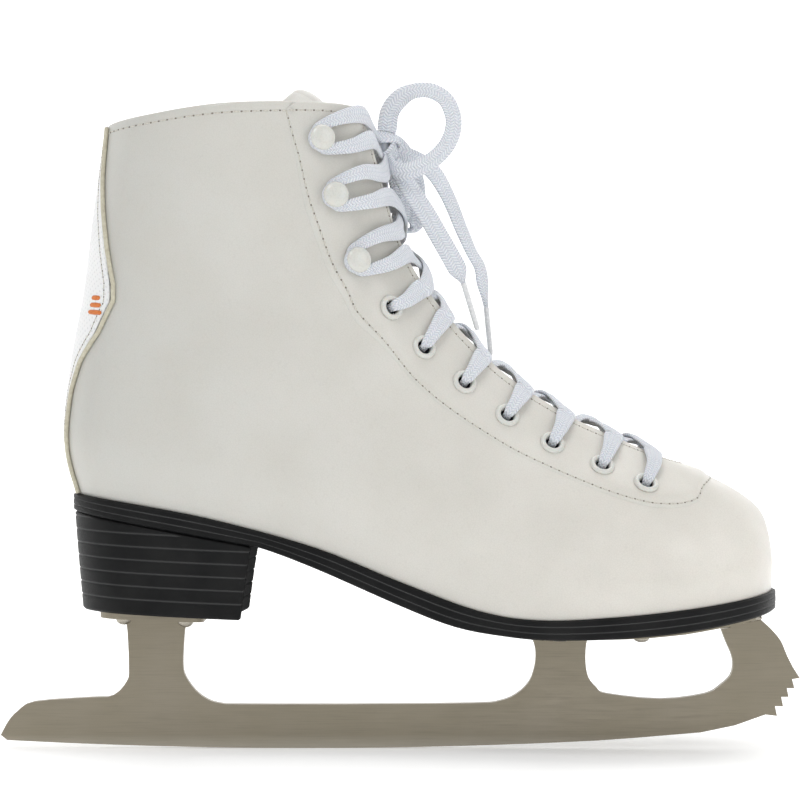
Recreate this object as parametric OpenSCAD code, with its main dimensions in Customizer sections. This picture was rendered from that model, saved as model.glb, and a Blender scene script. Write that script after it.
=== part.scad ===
// Figure skate for the right foot: a stitched lace-up boot on a riveted steel blade.
// +X points to the toe, +Y to the inner side of the foot and +Z up.
// The origin is on the ice, below the middle of the blade.

/* [Blade] */
// Thickness of the blade steel
blade_t = 4; // [3.5:0.1:4.5]
// Radius of the rocker curve along the runner
rocker_r = 2150; // [1900:10:2400]
// Thickness of the sole plate and the heel plate
plate_t = 2.2; // [1.8:0.1:2.6]
// Radius of a rivet shank
rivet_r = 2; // [1.5:0.1:2.5]

/* [Boot] */
// Thickness of the upper
upper_t = 2; // [1.6:0.1:2.2]
// Thickness of the lining
lining_t = 1.2; // [0.8:0.1:1.5]
// Thickness of the eyelet facing that is stitched onto the upper
facing_t = 1.2; // [0.8:0.1:1.5]
// Thickness of the backstay strip that is stitched onto the heel seam
backstay_t = 0.9; // [0.6:0.1:1.2]
// Thickness of the padding at the ankle
ankle_pad_t = 6; // [4:0.5:7]
// Width of the welt edge of the outsole around the upper
welt_w = 1.6; // [1:0.1:2.5]

/* [Lacing] */
// Outer radius of an eyelet flange
eyelet_r = 4.75; // [4.5:0.05:5]
// Radius of the hole in an eyelet
eyelet_hole_r = 2.65; // [2.4:0.05:2.8]
// Width of the flat lace
lace_w = 7.4; // [6:0.1:8]
// Thickness of the flat lace
lace_t = 1.4; // [1:0.1:1.6]

/* [Hidden] */
$fn = 32;

GAP = 0.1;                      // clearance between pieces that are glued or stitched together
FIT = 0.03;                     // clearance of a nail or rivet in its hole
OUTER = 1;                      // near half of the boot, at -Y
INNER = -1;                     // half of the boot at +Y

// ---- Curves -------------------------------------------------------------------------------

function spline(a, b, c, d, t) =
    (2*b + (c - a)*t + (2*a - 5*b + 4*c - d)*t*t + (3*b - a - 3*c + d)*t*t*t) / 2;

// A point of the smooth open curve through pts, at k = 0 .. len(pts) - 1
function along(pts, k) =
    let (last = len(pts) - 1, i = min(floor(k), last - 1),
        a = i > 0 ? pts[i - 1] : 2*pts[0] - pts[1],
        d = i + 2 <= last ? pts[i + 2] : 2*pts[last] - pts[last - 1])
    spline(a, pts[i], pts[i + 1], d, k - i);

function smooth(pts, steps) =
    let (last = len(pts) - 1)
    [for (i = [0 : last*steps]) along(pts, i/steps)];

function arc(cx, cy, r, from, to, steps = 8) =
    [for (i = [0 : steps]) let (a = from + (to - from)*i/steps) [cx + r*cos(a), cy + r*sin(a)]];

function ramp(x, lo, hi) = let (t = max(0, min(1, (x - lo)/(hi - lo)))) t*t*(3 - 2*t);
function unit(p) = p / norm(p);
function joined(lists) = [for (l = lists) each l];
function mix(a, b, t) = a + (b - a)*t;

// ---- Sole profile, seen from the side -------------------------------------------------------

SOLE_TOP = smooth([[-126, 97.4], [-95, 92.8], [-67, 87.4], [-31, 77.4], [0, 65], [28, 55],
    [50, 51.6], [78, 52.8], [112, 56.2], [146, 61]], 5);
SOLE_BOTTOM = smooth([[-60, 79.4], [-49, 76.6], [-30, 69.3], [0, 56.2], [20, 48.8], [38, 45.6],
    [55, 44.3], [82, 45.1], [112, 48], [146, 53.6]], 5);
HEEL_SEAT = [[-130, 91.5], [-54, 77.9]]; // the line where the heel block meets the outsole
function sole_z(x) = lookup(x, SOLE_TOP);
function tread_z(x) = lookup(x, SOLE_BOTTOM);

// ---- Boot surface ---------------------------------------------------------------------------
// Columns run from the middle of the toe to the middle of the heel along the outer side. Each one
// climbs from the featherline, where the upper meets the sole, to the edge of the upper.

NET = [
    [[141.2, 0, 61], [141.3, 0, 74], [138, 0, 88.5],
        [129.6, 0, 96.6], [117, 0, 103.3], [103.4, 0, 108]],
    [[133, -26.5, 59.6], [134, -27, 73], [130, -23.5, 87],
        [121, -18, 97.5], [109.5, -12.5, 104.5], [99, -8, 109.3]],
    [[112, -40.5, 56.3], [112.5, -41.5, 69], [109, -37.5, 83],
        [102, -29.5, 96], [93, -20, 106], [84, -11.5, 115.5]],
    [[80, -44.5, 53.2], [81, -46, 66], [79, -42.5, 82.5],
        [73, -34, 98.5], [66, -23, 113], [58, -12.5, 128]],
    [[45, -40.5, 51], [45, -42, 68], [43, -40, 87],
        [39, -34, 106], [33, -25, 127], [30, -13.5, 149]],
    [[5, -31, 63.2], [7, -35, 82], [8, -36.5, 104],
        [7, -33, 128], [4, -25, 155], [1.9, -15, 185]],
    [[-22, -29, 73.8], [-22, -34.5, 96], [-19, -36, 126],
        [-15, -32, 160], [-13, -25, 200], [-13.5, -18.5, 233]],
    [[-40, -29.5, 80], [-42, -34.5, 103], [-40, -36.5, 133],
        [-33, -34.5, 166], [-25, -31, 205], [-20.5, -24.5, 241]],
    [[-75, -30.5, 89.3], [-78, -34, 109], [-79, -34.5, 138],
        [-72, -33.5, 170], [-65, -36, 206], [-62, -38, 240.2]],
    [[-108, -22, 95.3], [-113, -26, 114], [-112, -26, 142],
        [-106.5, -24.5, 172], [-101, -25, 204], [-97, -25, 236.6]],
    [[-122.2, 0, 97], [-126.6, 0, 118], [-124.3, 0, 145],
        [-119.2, 0, 173], [-115.5, 0, 203], [-111, 0, 235]]
];
HEEL = len(NET) - 1;            // column at the middle of the heel
TURN = 2*HEEL;                  // columns in the whole turn round the boot
EDGE = len(NET[0]) - 1;         // row at the edge of the upper

function column(i) =
    let (k = (i + 2*TURN) % TURN)
    k <= HEEL ? NET[k] : [for (p = NET[TURN - k]) [p.x, -p.y, p.z]];

function net_point(u, v) =
    let (i = floor(u), c = [for (k = [i - 1 : i + 2]) along(column(k), v)])
    spline(c[0], c[1], c[2], c[3], u - i);

// A right foot's sole swings inwards at the toe and is hollow on its inner side at the waist
TOE_SWING = 4;
WAIST_HOLLOW = 2.5;
function waist(x, z) = ramp(x, -70, -20)*(1 - ramp(x, 10, 60))*(1 - ramp(z, 90, 130));
function swing(x, z) = TOE_SWING*ramp(x, 80, 141) - WAIST_HOLLOW*waist(x, z);

function boot(u, v) =
    let (p = net_point(u, v), q = v < 1 ? net_point(u, 0) : p, w = v < 1 ? (1 - v)*(1 - v) : 0)
    [p.x, p.y + swing(p.x, p.z), p.z + w*(sole_z(q.x) + GAP - q.z)];

function normal(u, v) =
    let (e = 0.02, va = max(0, v - e), vb = min(EDGE, v + e))
    unit(cross(boot(u, vb) - boot(u, va), boot(u + e, v) - boot(u - e, v)));

// Point of the boot surface, moved out along its normal
function skin(u, v, out) = boot(u, v) + out*normal(u, v);

// The lining's depth below the boot surface: it bends inwards over the toe puff, counter and pads
function fold(u) = let (k = (u + 2*TURN) % TURN) k <= HEEL ? k : TURN - k;
TOE_PUFF_T = 1.8;
COUNTER_T = 2.4;
INSERT_GAP = 0.6;               // clearance of a stiffener or pad from the upper and the lining
function toe_part(u, v) = (1 - ramp(fold(u), 2, 3))*(1 - ramp(v, 2.6, 3.6));
function counter_part(u, v) = ramp(fold(u), 7, 7.8)*(1 - ramp(v, 1.5, 2.1));
function pad_part(u, v) =
    ramp(fold(u), 6.6, 7.3)*(1 - ramp(fold(u), 9.1, 9.8))*ramp(v, 1.6, 2.3)*(1 - ramp(v, 4.2, 4.8));
function lining_depth(u, v) =
    upper_t + 2*GAP + TOE_PUFF_T*toe_part(u, v) + COUNTER_T*counter_part(u, v) + ankle_pad_t*pad_part(u, v);

// ---- Closed solids from grids of points -----------------------------------------------------
// outer and inner are lists of columns of points. A ring's last column joins its first.

module shell(outer, inner, ring = false) {
    n = len(outer);
    m = len(outer[0]);
    cols = ring ? n : n - 1;
    far = n*m;
    at = function (i, j) (i % n)*m + j;
    quad = function (a, b, c, d) [[a, b, c], [a, c, d]];
    faces = joined([
        for (i = [0 : cols - 1], j = [0 : m - 2])
            quad(at(i, j), at(i, j + 1), at(i + 1, j + 1), at(i + 1, j)),
        for (i = [0 : cols - 1], j = [0 : m - 2])
            quad(far + at(i, j), far + at(i + 1, j), far + at(i + 1, j + 1), far + at(i, j + 1)),
        for (i = [0 : cols - 1])
            quad(at(i, 0), at(i + 1, 0), far + at(i + 1, 0), far + at(i, 0)),
        for (i = [0 : cols - 1])
            quad(at(i, m - 1), far + at(i, m - 1), far + at(i + 1, m - 1), at(i + 1, m - 1)),
        if (!ring) for (j = [0 : m - 2])
            quad(at(0, j), far + at(0, j), far + at(0, j + 1), at(0, j + 1)),
        if (!ring) for (j = [0 : m - 2])
            quad(at(n - 1, j), at(n - 1, j + 1), far + at(n - 1, j + 1), far + at(n - 1, j))
    ]);
    polyhedron(concat(joined(outer), joined(inner)), faces, convexity = 10);
}

// A layer between two depths over a patch of the boot. where(i, j) gives [u, v].
module layer(cols, rows, where, out, into, ring = false) {
    last = ring ? cols - 1 : cols;
    grid = function (height)
        [for (i = [0 : last]) [for (j = [0 : rows])
            let (p = where(i, j)) skin(p[0], p[1], height(p[0], p[1]))]];
    shell(grid(out), grid(function (u, v) -into(u, v)), ring);
}

// A ribbon or tube swept along a route. Each section is [width, thickness], and face[i] is the
// direction that its flat face looks in at point i.
SWEEP_SIDES = 8;
module sweep(route, sizes, face) {
    last = len(route) - 1;
    along_route = function (i) unit(route[min(i + 1, last)] - route[max(i - 1, 0)]);
    across = function (i) unit(cross(along_route(i), face[i]));
    aligned = function (i, w) let (c = across(min(i, last))) c*w < 0 ? -c : c;
    widths = [for (i = 0, w = across(0); i <= last; i = i + 1, w = aligned(i, w)) w];
    rings = [for (i = [0 : last])
        let (w = widths[i], h = cross(along_route(i), w))
        [for (k = [0 : SWEEP_SIDES - 1])
            let (a = 360*(k + 0.5)/SWEEP_SIDES, s = sizes[i]/2/cos(180/SWEEP_SIDES))
            route[i] + s[0]*cos(a)*w + s[1]*sin(a)*h]];
    side = function (i, k) i*SWEEP_SIDES + k % SWEEP_SIDES;
    faces = joined([
        [[for (k = [0 : SWEEP_SIDES - 1]) k]],
        for (i = [0 : last - 1], k = [0 : SWEEP_SIDES - 1])
            let (a = side(i, k), b = side(i + 1, k), c = side(i + 1, k + 1), d = side(i, k + 1))
            [[a, b, c], [a, c, d]],
        [[for (k = [SWEEP_SIDES - 1 : -1 : 0]) side(last, k)]]
    ]);
    polyhedron(joined(rings), faces, convexity = 10);
}

// Places a child made along +Z at a point of the boot surface, pointing out along the normal
module on_boot(u, v) {
    p = boot(u, v);
    d = normal(u, v);
    translate(p) rotate([0, acos(d.z), atan2(d.y, d.x)]) children();
}

// A strip under a curve of the side view, extruded across the boot
module slab(points, half_w) {
    rotate([90, 0, 0]) linear_extrude(2*half_w, center = true) polygon(points);
}

// ---- Blade ----------------------------------------------------------------------------------

ROCKER_X = -35;                 // lowest point of the runner
ROCKER_END = 75;                // the pick's straight rise starts here
TAIL_X = -149;
function rocker_z(x) = rocker_r - sqrt(rocker_r*rocker_r - (x - ROCKER_X)*(x - ROCKER_X));

RUNNER = concat([for (i = [0 : 16]) let (x = mix(TAIL_X, ROCKER_END, i/16)) [x, rocker_z(x)]],
    [[90, 3.9], [114, 5.9], [127, 8.6]]);
PICK = [[138.6, 12.7], [143, 12.2], [142.2, 15.9], [145.3, 15.8], [144.6, 19.4], [147.4, 19.4],
    [146.7, 22.7], [149.6, 22.7], [148.7, 26.1], [151.6, 26.6], [149, 30.7]];
PROW = smooth([[149, 30.7], [146.7, 35.3], [144.4, 40.7], [140.5, 45.4], [136, 49.4]], 3);
WINDOW_TOP = smooth([[120.8, 48], [123.5, 40.7], [125.8, 35.3], [126.3, 31.4], [125.4, 27.6], [121.9, 24.1],
    [115.7, 20.6], [98.6, 18.6], [78.5, 20.6], [74.6, 22.9], [71.5, 26.8], [70.4, 32.2],
    [70.6, 39.2], [72, 44.3]], 3);
MIDDLE = smooth([[49, 44.3], [51, 39.2], [51.5, 35.3], [51, 30.7], [49, 25.2], [44.3, 20.6], [38.2, 18],
    [28, 17], [-20, 16.6], [-60, 16.6], [-67.7, 16.9], [-72.9, 18.4], [-77.6, 21.9], [-81.3, 27.2],
    [-82.3, 31.8], [-81.9, 41.7], [-81.1, 49.2]], 3);
TAIL = smooth([[-104.3, 49.8], [-103.4, 44.6], [-102.8, 30.6], [-103.6, 25.4], [-108.9, 19.9], [-117, 19.2],
    [-138.6, 17.6], [-145, 14.1], [-148.5, 10.3], [-151.4, 5]], 3);

module blade() {
    color([0.54, 0.51, 0.46])
        rotate([90, 0, 0]) linear_extrude(blade_t, center = true)
            polygon(concat(RUNNER, PICK, PROW, WINDOW_TOP, MIDDLE, TAIL));
}

SOLE_PLATE_X = [49, 136.5];     // ends of the sole plate
HEEL_PLATE_X = [-112.5, -73.3]; // ends of the heel plate
HEEL_PLATE_Z = [52.8, 51.2];    // height of the heel's lower face over those ends
SOLE_PLATE_W = 27;              // half of the greatest width
HEEL_PLATE_W = 21;
HEEL_PLATE_R = [9, 5];          // radius of its back corners and of its front corners
// Rivets: place along the skate, distance from its middle and height of the head
SOLE_RIVETS = [[60, 14, 0.5], [90, 20, 1.6], [121, 15, 0.5]];
HEEL_RIVETS = [[-103.6, 13.5, 2.3], [-80.3, 14.5, 2.3]];
DOME_R = 2.9;
DOME_GAP = 0.25;                // a head stands clear of the plate's slope
function heel_z(x) =
    let (x0 = HEEL_PLATE_X[0], x1 = HEEL_PLATE_X[1])
    mix(HEEL_PLATE_Z[0], HEEL_PLATE_Z[1], (x - x0)/(x1 - x0));

SOLE_PLATE_ENDS = [16, 20];     // radius of the back end and of the front end
SOLE_PLATE_WIDE = [90, 106];    // where it is widest
module sole_plate_outline() {
    x = SOLE_PLATE_WIDE;
    half = SOLE_PLATE_W - 1;
    r = SOLE_PLATE_ENDS;
    polygon(concat(arc(SOLE_PLATE_X[0] + r[0], 0, r[0], 120, 240), [[x[0], -half], [x[1], -half]],
        arc(SOLE_PLATE_X[1] - r[1], 0, r[1], -60, 60), [[x[1], half], [x[0], half]]));
}

module sole_plate() {
    x0 = SOLE_PLATE_X[0] - 1;
    x1 = SOLE_PLATE_X[1] + 1;
    xs = concat([x0], [for (p = SOLE_BOTTOM) if (p.x > x0 && p.x < x1) p.x], [x1]);
    color([0.54, 0.51, 0.46])
        difference() {
            intersection() {
                slab(concat([for (x = xs) [x, tread_z(x)]],
                    [for (i = [len(xs) - 1 : -1 : 0]) [xs[i], tread_z(xs[i]) - plate_t]]), SOLE_PLATE_W);
                translate([0, 0, 30]) linear_extrude(40) sole_plate_outline();
            }
            sole_rivet_shanks(rivet_r + FIT);
            blade_top();
        }
}

// Room for the ends of the blade's posts, which are brazed into the plates
module blade_top() {
    rotate([90, 0, 0]) linear_extrude(blade_t + 2*FIT, center = true)
            polygon(concat(RUNNER, PICK, PROW, WINDOW_TOP, MIDDLE, TAIL));
}

module heel_plate_outline(back, front) {
    r = HEEL_PLATE_R;
    a = HEEL_PLATE_W - r[0];
    b = HEEL_PLATE_W - r[1];
    polygon(concat(arc(back, a, r[0], 90, 180), arc(back, -a, r[0], 180, 270),
        arc(front, -b, r[1], 270, 360), arc(front, b, r[1], 0, 90)));
}

module heel_plate() {
    x0 = HEEL_PLATE_X[0];
    x1 = HEEL_PLATE_X[1];
    color([0.54, 0.51, 0.46])
        difference() {
            intersection() {
                slab([[x0, heel_z(x0)], [x0, heel_z(x0) - plate_t], [x1, heel_z(x1) - plate_t],
                    [x1, heel_z(x1)]], HEEL_PLATE_W + 2);
                translate([0, 0, 40]) linear_extrude(20)
                    heel_plate_outline(x0 + HEEL_PLATE_R[0], x1 - HEEL_PLATE_R[1]);
            }
            heel_rivet_shanks(rivet_r + FIT);
            blade_top();
        }
}

SHANK_UP = 5;                   // how far a rivet reaches into the sole or heel
module sole_rivet_shanks(r) {
    for (p = SOLE_RIVETS, s = [-1, 1])
        translate([p[0], s*p[1], tread_z(p[0]) - plate_t - 1]) cylinder(plate_t + 1 + SHANK_UP, r, r);
}

module heel_rivet_shanks(r) {
    for (p = HEEL_RIVETS, s = [-1, 1])
        translate([p[0], s*p[1], heel_z(p[0]) - plate_t - 1]) cylinder(plate_t + 1 + SHANK_UP, r, r);
}

// A rivet with its head's flat side at height 0, its head below and its shank above
module rivet(head_h) {
    rotate_extrude()
        polygon(concat([[0, plate_t + SHANK_UP - 0.5], [rivet_r, plate_t + SHANK_UP - 0.5], [rivet_r, 0]],
            [for (a = [0 : 15 : 90]) [DOME_R*cos(a), -head_h*sin(a)]]));
}

module sole_plate_rivets() {
    color([0.6, 0.58, 0.54])
        for (p = SOLE_RIVETS, s = [-1, 1])
            translate([p[0], s*p[1], tread_z(p[0]) - plate_t - DOME_GAP]) rivet(p[2]);
}

module heel_plate_rivets() {
    color([0.6, 0.58, 0.54])
        for (p = HEEL_RIVETS, s = [-1, 1])
            translate([p[0], s*p[1], heel_z(p[0]) - plate_t - DOME_GAP]) rivet(p[2]);
}

// ---- Sole and heel --------------------------------------------------------------------------

SOLE_STEPS = 3;                 // points per column of the boot surface
// Outline of the featherline from above, moved out by a distance
function sole_outline(out) =
    [for (k = [0 : TURN*SOLE_STEPS - 1])
        let (u = k/SOLE_STEPS, p = boot(u, 0), a = boot(u - 0.1, 0), b = boot(u + 0.1, 0),
            d = unit([b.y - a.y, a.x - b.x]))
        [p.x - out*d.x, p.y - out*d.y]];

module sole_columns(out) {
    linear_extrude(120) polygon(sole_outline(out));
}

NAILS = [[-108, 0], [-100, 10], [-100, -10], [-78, 12], [-78, -12]];
NAIL_R = 1.2;
module outsole() {
    top = [for (i = [len(SOLE_TOP) - 1 : -1 : 0]) SOLE_TOP[i]];
    color([0.09, 0.09, 0.09])
        difference() {
            intersection() {
                slab(concat(HEEL_SEAT, [for (p = SOLE_BOTTOM) if (p.x > -53.8) p], top), 60);
                sole_columns(welt_w);
            }
            shank_slot(SHANK_T + 2*GAP, SHANK_W + GAP);
            sole_rivet_shanks(rivet_r + FIT);
            nails(FIT);
        }
}

HEEL_BACK = [[-128, 91], [-120.6, 54.7], [-119.9, heel_z(-119.9)]];
HEEL_BREAST = [[-58.8, heel_z(-58.8)], [-56.8, 54.7], [-55, 69.3]];
module heel_block() {
    color([0.1, 0.1, 0.1])
        difference() {
            intersection() {
                slab(concat([HEEL_SEAT[0] - [0, GAP]], HEEL_BACK, HEEL_BREAST,
                    [HEEL_SEAT[1] - [0, GAP]]), 60);
                sole_columns(welt_w - 4*GAP);
            }
            heel_rivet_shanks(rivet_r + FIT);
            nails(FIT);
        }
}

module nails(gap) {
    for (p = NAILS) translate([p[0], p[1], 62 - gap]) cylinder(26 + 2*gap, NAIL_R + gap, NAIL_R + gap);
}

module heel_nails() {
    color([0.6, 0.6, 0.6]) nails(0);
}

SHANK_X = [-80, 20];
SHANK_T = 1.5;
SHANK_W = 7;
module shank_slot(depth, half_w) {
    xs = [for (i = [0 : 10]) mix(SHANK_X[0], SHANK_X[1], i/10)];
    slab(concat([for (x = xs) [x, sole_z(x) + GAP/2]],
        [for (i = [10 : -1 : 0]) [xs[i], sole_z(xs[i]) - depth]]), half_w);
}

module shank() {
    xs = [for (i = [0 : 10]) mix(SHANK_X[0] + 2*GAP, SHANK_X[1] - 2*GAP, i/10)];
    color([0.55, 0.55, 0.58])
        slab(concat([for (x = xs) [x, sole_z(x) - GAP]],
            [for (i = [10 : -1 : 0]) [xs[i], sole_z(xs[i]) - SHANK_T]]), SHANK_W);
}

BOARD_T = 2.5;
LINER_T = 3;
module foot_bed(low, high, inset) {
    intersection() {
        slab(concat([for (p = SOLE_TOP) [p.x, p.y + low]],
            [for (i = [len(SOLE_TOP) - 1 : -1 : 0]) [SOLE_TOP[i].x, SOLE_TOP[i].y + high]]), 60);
        sole_columns(-inset);
    }
}

module insole_board() {
    color([0.72, 0.6, 0.42]) foot_bed(GAP, BOARD_T, upper_t + lining_t + COUNTER_T + 0.8);
}

module sock_liner() {
    color([0.85, 0.84, 0.8]) foot_bed(BOARD_T + GAP, BOARD_T + LINER_T, upper_t + lining_t + COUNTER_T + 1);
}

// ---- Upper and what is stitched to it --------------------------------------------------------

EYELETS = [[5.42, 3.73], [4.81, 4.1], [4.28, 4.2], [3.78, 4.14], [3.32, 3.93], [2.79, 3.7], [2.33, 3.34]];
HOOKS = [[7.25, 4.62], [7, 4.05], [6.25, 3.48]];
BARREL_R = eyelet_hole_r + 0.5;
HOOK_RIVET_R = 1.6;
UPPER_COLS = 3;                 // grid columns per column of the boot surface
UPPER_ROWS = 12;

module lacing_hole(r) {
    cylinder(16, r, r, center = true, $fn = 16);
}

module lacing_holes() {
    for (s = [1, -1]) {
        for (e = EYELETS) on_boot(s*e[0], e[1]) lacing_hole(BARREL_R + GAP);
        for (h = HOOKS) on_boot(s*h[0], h[1]) lacing_hole(HOOK_RIVET_R + GAP);
    }
}

module upper() {
    color([0.86, 0.85, 0.82])
        difference() {
            layer(TURN*UPPER_COLS, UPPER_ROWS, function (i, j) [i/UPPER_COLS, EDGE*j/UPPER_ROWS],
                function (u, v) 0, function (u, v) upper_t, ring = true);
            lacing_holes();
        }
}

module lining() {
    color([0.88, 0.86, 0.78])
        difference() {
            layer(TURN*UPPER_COLS, UPPER_ROWS, function (i, j) [i/UPPER_COLS, mix(0.12, EDGE, j/UPPER_ROWS)],
                function (u, v) -lining_depth(u, v), function (u, v) lining_depth(u, v) + lining_t,
                ring = true);
            lacing_holes();
        }
}

// The seam of the facing, from the middle of the toe to the collar, and the point of the edge that
// each point of the seam is joined to
SEAM = smooth([[0, 4.05], [1.28, 3.26], [1.75, 2.8], [2.34, 2.7], [2.9, 2.95], [3.6, 3.37], [4.2, 3.5],
    [5.04, 3.36], [5.9, 3], [6.4, 3.13], [6.9, 3.4], [7.27, 3.9], [7.45, 4.5], [7.55, 4.93]], 2);
SEAM_EDGE = smooth([for (u = [0, 0.7, 1.1, 1.6, 2.4, 3.2, 4, 4.7, 5.2, 5.6, 6, 6.4, 7, 7.5]) [u, EDGE]], 2);
FACING_GAP = 0.35;              // room below the facing for the facets of the upper
FACING_ROWS = 5;
module facing() {
    last = len(SEAM) - 1;
    where = function (i, j)
        let (k = abs(i - last), s = i < last ? -1 : 1, p = mix(SEAM[k], SEAM_EDGE[k], j/FACING_ROWS))
        [s*p[0], p[1]];
    color([0.87, 0.86, 0.83])
        difference() {
            layer(2*last, FACING_ROWS, where, function (u, v) facing_t, function (u, v) -FACING_GAP);
            lacing_holes();
        }
}

// Half of the backstay's width, in columns of the boot surface, from the sole to the collar
BACKSTAY_HALF = [[0, 0.28], [0.4, 0.26], [1.2, 0.35], [1.7, 0.43], [2.1, 0.6], [2.5, 0.88],
    [2.9, 1.02], [3.1, 0.97], [3.5, 0.76], [4, 0.53], [4.4, 0.38], [5, 0.25]];
PIPING_OFF = 0.03;              // the piping lies this far outside the backstay's edge, in columns
function backstay_half(v) = lookup(v, BACKSTAY_HALF);
BACKSTAY_ROWS = 20;
PIPING_R = 0.85;

module backstay() {
    across = 8;
    where = function (i, j)
        let (v = EDGE*j/BACKSTAY_ROWS) [HEEL + (2*i/across - 1)*(backstay_half(v) - PIPING_OFF), v];
    color([0.9, 0.91, 0.92])
        layer(across, BACKSTAY_ROWS, where, function (u, v) backstay_t, function (u, v) -2.5*GAP);
}

module piping(side) {
    steps = 36;
    vs = [for (i = [0 : steps]) mix(0.02, EDGE - 0.02, i/steps)];
    us = [for (v = vs) HEEL - side*(backstay_half(v) + PIPING_OFF)];
    route = [for (i = [0 : steps]) skin(us[i], vs[i], PIPING_R + GAP)];
    face = [for (i = [0 : steps]) normal(us[i], vs[i])];
    color([0.8, 0.79, 0.7]) sweep(route, [for (v = vs) [2*PIPING_R, 2*PIPING_R]], face);
}

module piping_outer() { piping(OUTER); }
module piping_inner() { piping(INNER); }

// Stiffeners and pads between the upper and the lining
module insert(cols, rows, u0, u1, v0, v1) {
    layer(cols, rows, function (i, j) [mix(u0, u1, i/cols), mix(v0, v1, j/rows)],
        function (u, v) -upper_t - INSERT_GAP, function (u, v) lining_depth(u, v) - INSERT_GAP);
}

module toe_puff() {
    color([0.75, 0.7, 0.6]) insert(16, 8, -2, 2, 0.15, 2.6);
}

module heel_counter() {
    color([0.7, 0.66, 0.58]) insert(18, 5, 7.7, TURN - 7.7, 0.15, 1.5);
}

module ankle_padding(side) {
    u0 = side == OUTER ? 7.1 : TURN - 9.3;
    color([0.9, 0.88, 0.6]) insert(10, 10, u0, u0 + 2.2, 2.15, 4.4);
}

module ankle_padding_outer() { ankle_padding(OUTER); }
module ankle_padding_inner() { ankle_padding(INNER); }

// ---- Eyelets and hooks ----------------------------------------------------------------------

EYELET_RIM_H = 1.1;
module eyelet() {
    end = facing_t + upper_t + lining_t + 4*GAP;
    rim = eyelet_r - eyelet_hole_r;
    translate([0, 0, facing_t + GAP])
        rotate_extrude() polygon(concat([[eyelet_hole_r, 0]],
            [for (a = [180 : -15 : 0]) [eyelet_hole_r + rim/2 + rim/2*cos(a), EYELET_RIM_H*sin(a)]],
            [[eyelet_r, 0], [BARREL_R, 0], [BARREL_R, -end], [BARREL_R + 1.2, -end],
                [BARREL_R + 1, -end - 0.5], [eyelet_hole_r, -end - 0.4]]));
}

module eyelets(side) {
    color([0.9, 0.9, 0.88]) for (e = EYELETS) on_boot(side*e[0], e[1]) eyelet();
}

module eyelets_outer() { eyelets(OUTER); }
module eyelets_inner() { eyelets(INNER); }

HOOK_NECK_R = 2;
HOOK_NECK_H = 3.2;
HOOK_BASE_H = 0.8;
HOOK_CAP_H = 1.9;
HOOK_WASHER = 0.75;             // height of the peened end inside the boot
module hook(depth) {
    base = facing_t + GAP;
    cap = base + HOOK_BASE_H + HOOK_NECK_H;
    rotate_extrude()
        polygon(concat([[0, -depth], [HOOK_RIVET_R + 1.2, -depth], [HOOK_RIVET_R + 1.2, 0.5 - depth],
                [HOOK_RIVET_R, 0.5 - depth], [HOOK_RIVET_R, base], [eyelet_r - 0.4, base],
                [eyelet_r - 0.6, base + HOOK_BASE_H], [HOOK_NECK_R, base + HOOK_BASE_H], [HOOK_NECK_R, cap]],
            [for (a = [0 : 15 : 90]) [eyelet_r*cos(a), cap + 0.3 + (HOOK_CAP_H - 0.3)*sin(a)]]));
}

module hooks(side) {
    color([0.9, 0.9, 0.88])
        for (h = HOOKS) on_boot(side*h[0], h[1]) hook(lining_depth(h[0], h[1]) + lining_t + HOOK_WASHER);
}

module hooks_outer() { hooks(OUTER); }
module hooks_inner() { hooks(INNER); }

// ---- Tongue ---------------------------------------------------------------------------------

TONGUE = [[97, 0, 103], [88, 0, 109.5], [74.5, 0, 117], [59, 0, 126.3], [44.5, 0, 136.3], [29.5, 0, 148.8],
    [16.3, 0, 161.5], [7.5, 0, 173.8], [1, 0, 188], [-6.5, 0, 205.3], [-12, 0, 221], [-20, 0, 236],
    [-34, 0, 248.5]];
TONGUE_HALF = [7, 13, 16, 18, 19, 19.5, 20, 20.5, 21, 21.6, 21.4, 21.4, 20];
TONGUE_CROWN = [3, 12, 16, 19, 20, 20, 20, 19, 17, 15, 14, 13, 12];
TONGUE_PAD = [2, 2.5, 3, 4, 5, 6, 6, 6, 6, 6, 6.5, 7, 7];
TONGUE_SKIN = 1.3;              // thickness of the tongue's outer skin and of its lining
TONGUE_LAST = len(TONGUE) - 1;
function tongue_in(k) =
    let (t = unit(along(TONGUE, min(TONGUE_LAST, k + 0.05)) - along(TONGUE, max(0, k - 0.05))))
    [-t.z, 0, t.x];
// A point of the tongue: k along it, w = -1 .. 1 across it, depth below its outer face
function tongue_point(k, w, depth) =
    let (m = along(TONGUE, k), y = swing(m.x, m.z) + w*(along(TONGUE_HALF, k) - 0.3*depth))
    [m.x, y, m.z] + tongue_in(k)*(along(TONGUE_CROWN, k)*w*w + depth);
TONGUE_COLS = 10;
TONGUE_ROWS = 24;
// One layer of the tongue. from and to give its depth at a point along the tongue.
module tongue_layer(from, to, ends = [0, 0], edge = 1) {
    at = function (j) mix(ends[0], TONGUE_LAST - ends[1], j/TONGUE_ROWS);
    grid = function (depth)
        [for (i = [0 : TONGUE_COLS]) [for (j = [0 : TONGUE_ROWS])
            tongue_point(at(j), edge*(2*i/TONGUE_COLS - 1), depth(at(j)))]];
    shell(grid(from), grid(to));
}

module tongue_shell() {
    color([0.86, 0.85, 0.82]) tongue_layer(function (k) 0, function (k) TONGUE_SKIN);
}

module tongue_padding() {
    color([0.9, 0.88, 0.6])
        tongue_layer(function (k) TONGUE_SKIN + GAP, function (k) TONGUE_SKIN + along(TONGUE_PAD, k),
            [0.3, 0.1], 0.95);
}

module tongue_lining() {
    color([0.88, 0.86, 0.78])
        tongue_layer(function (k) TONGUE_SKIN + GAP + along(TONGUE_PAD, k),
            function (k) 2*TONGUE_SKIN + along(TONGUE_PAD, k));
}

// ---- Laces ----------------------------------------------------------------------------------

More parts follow.
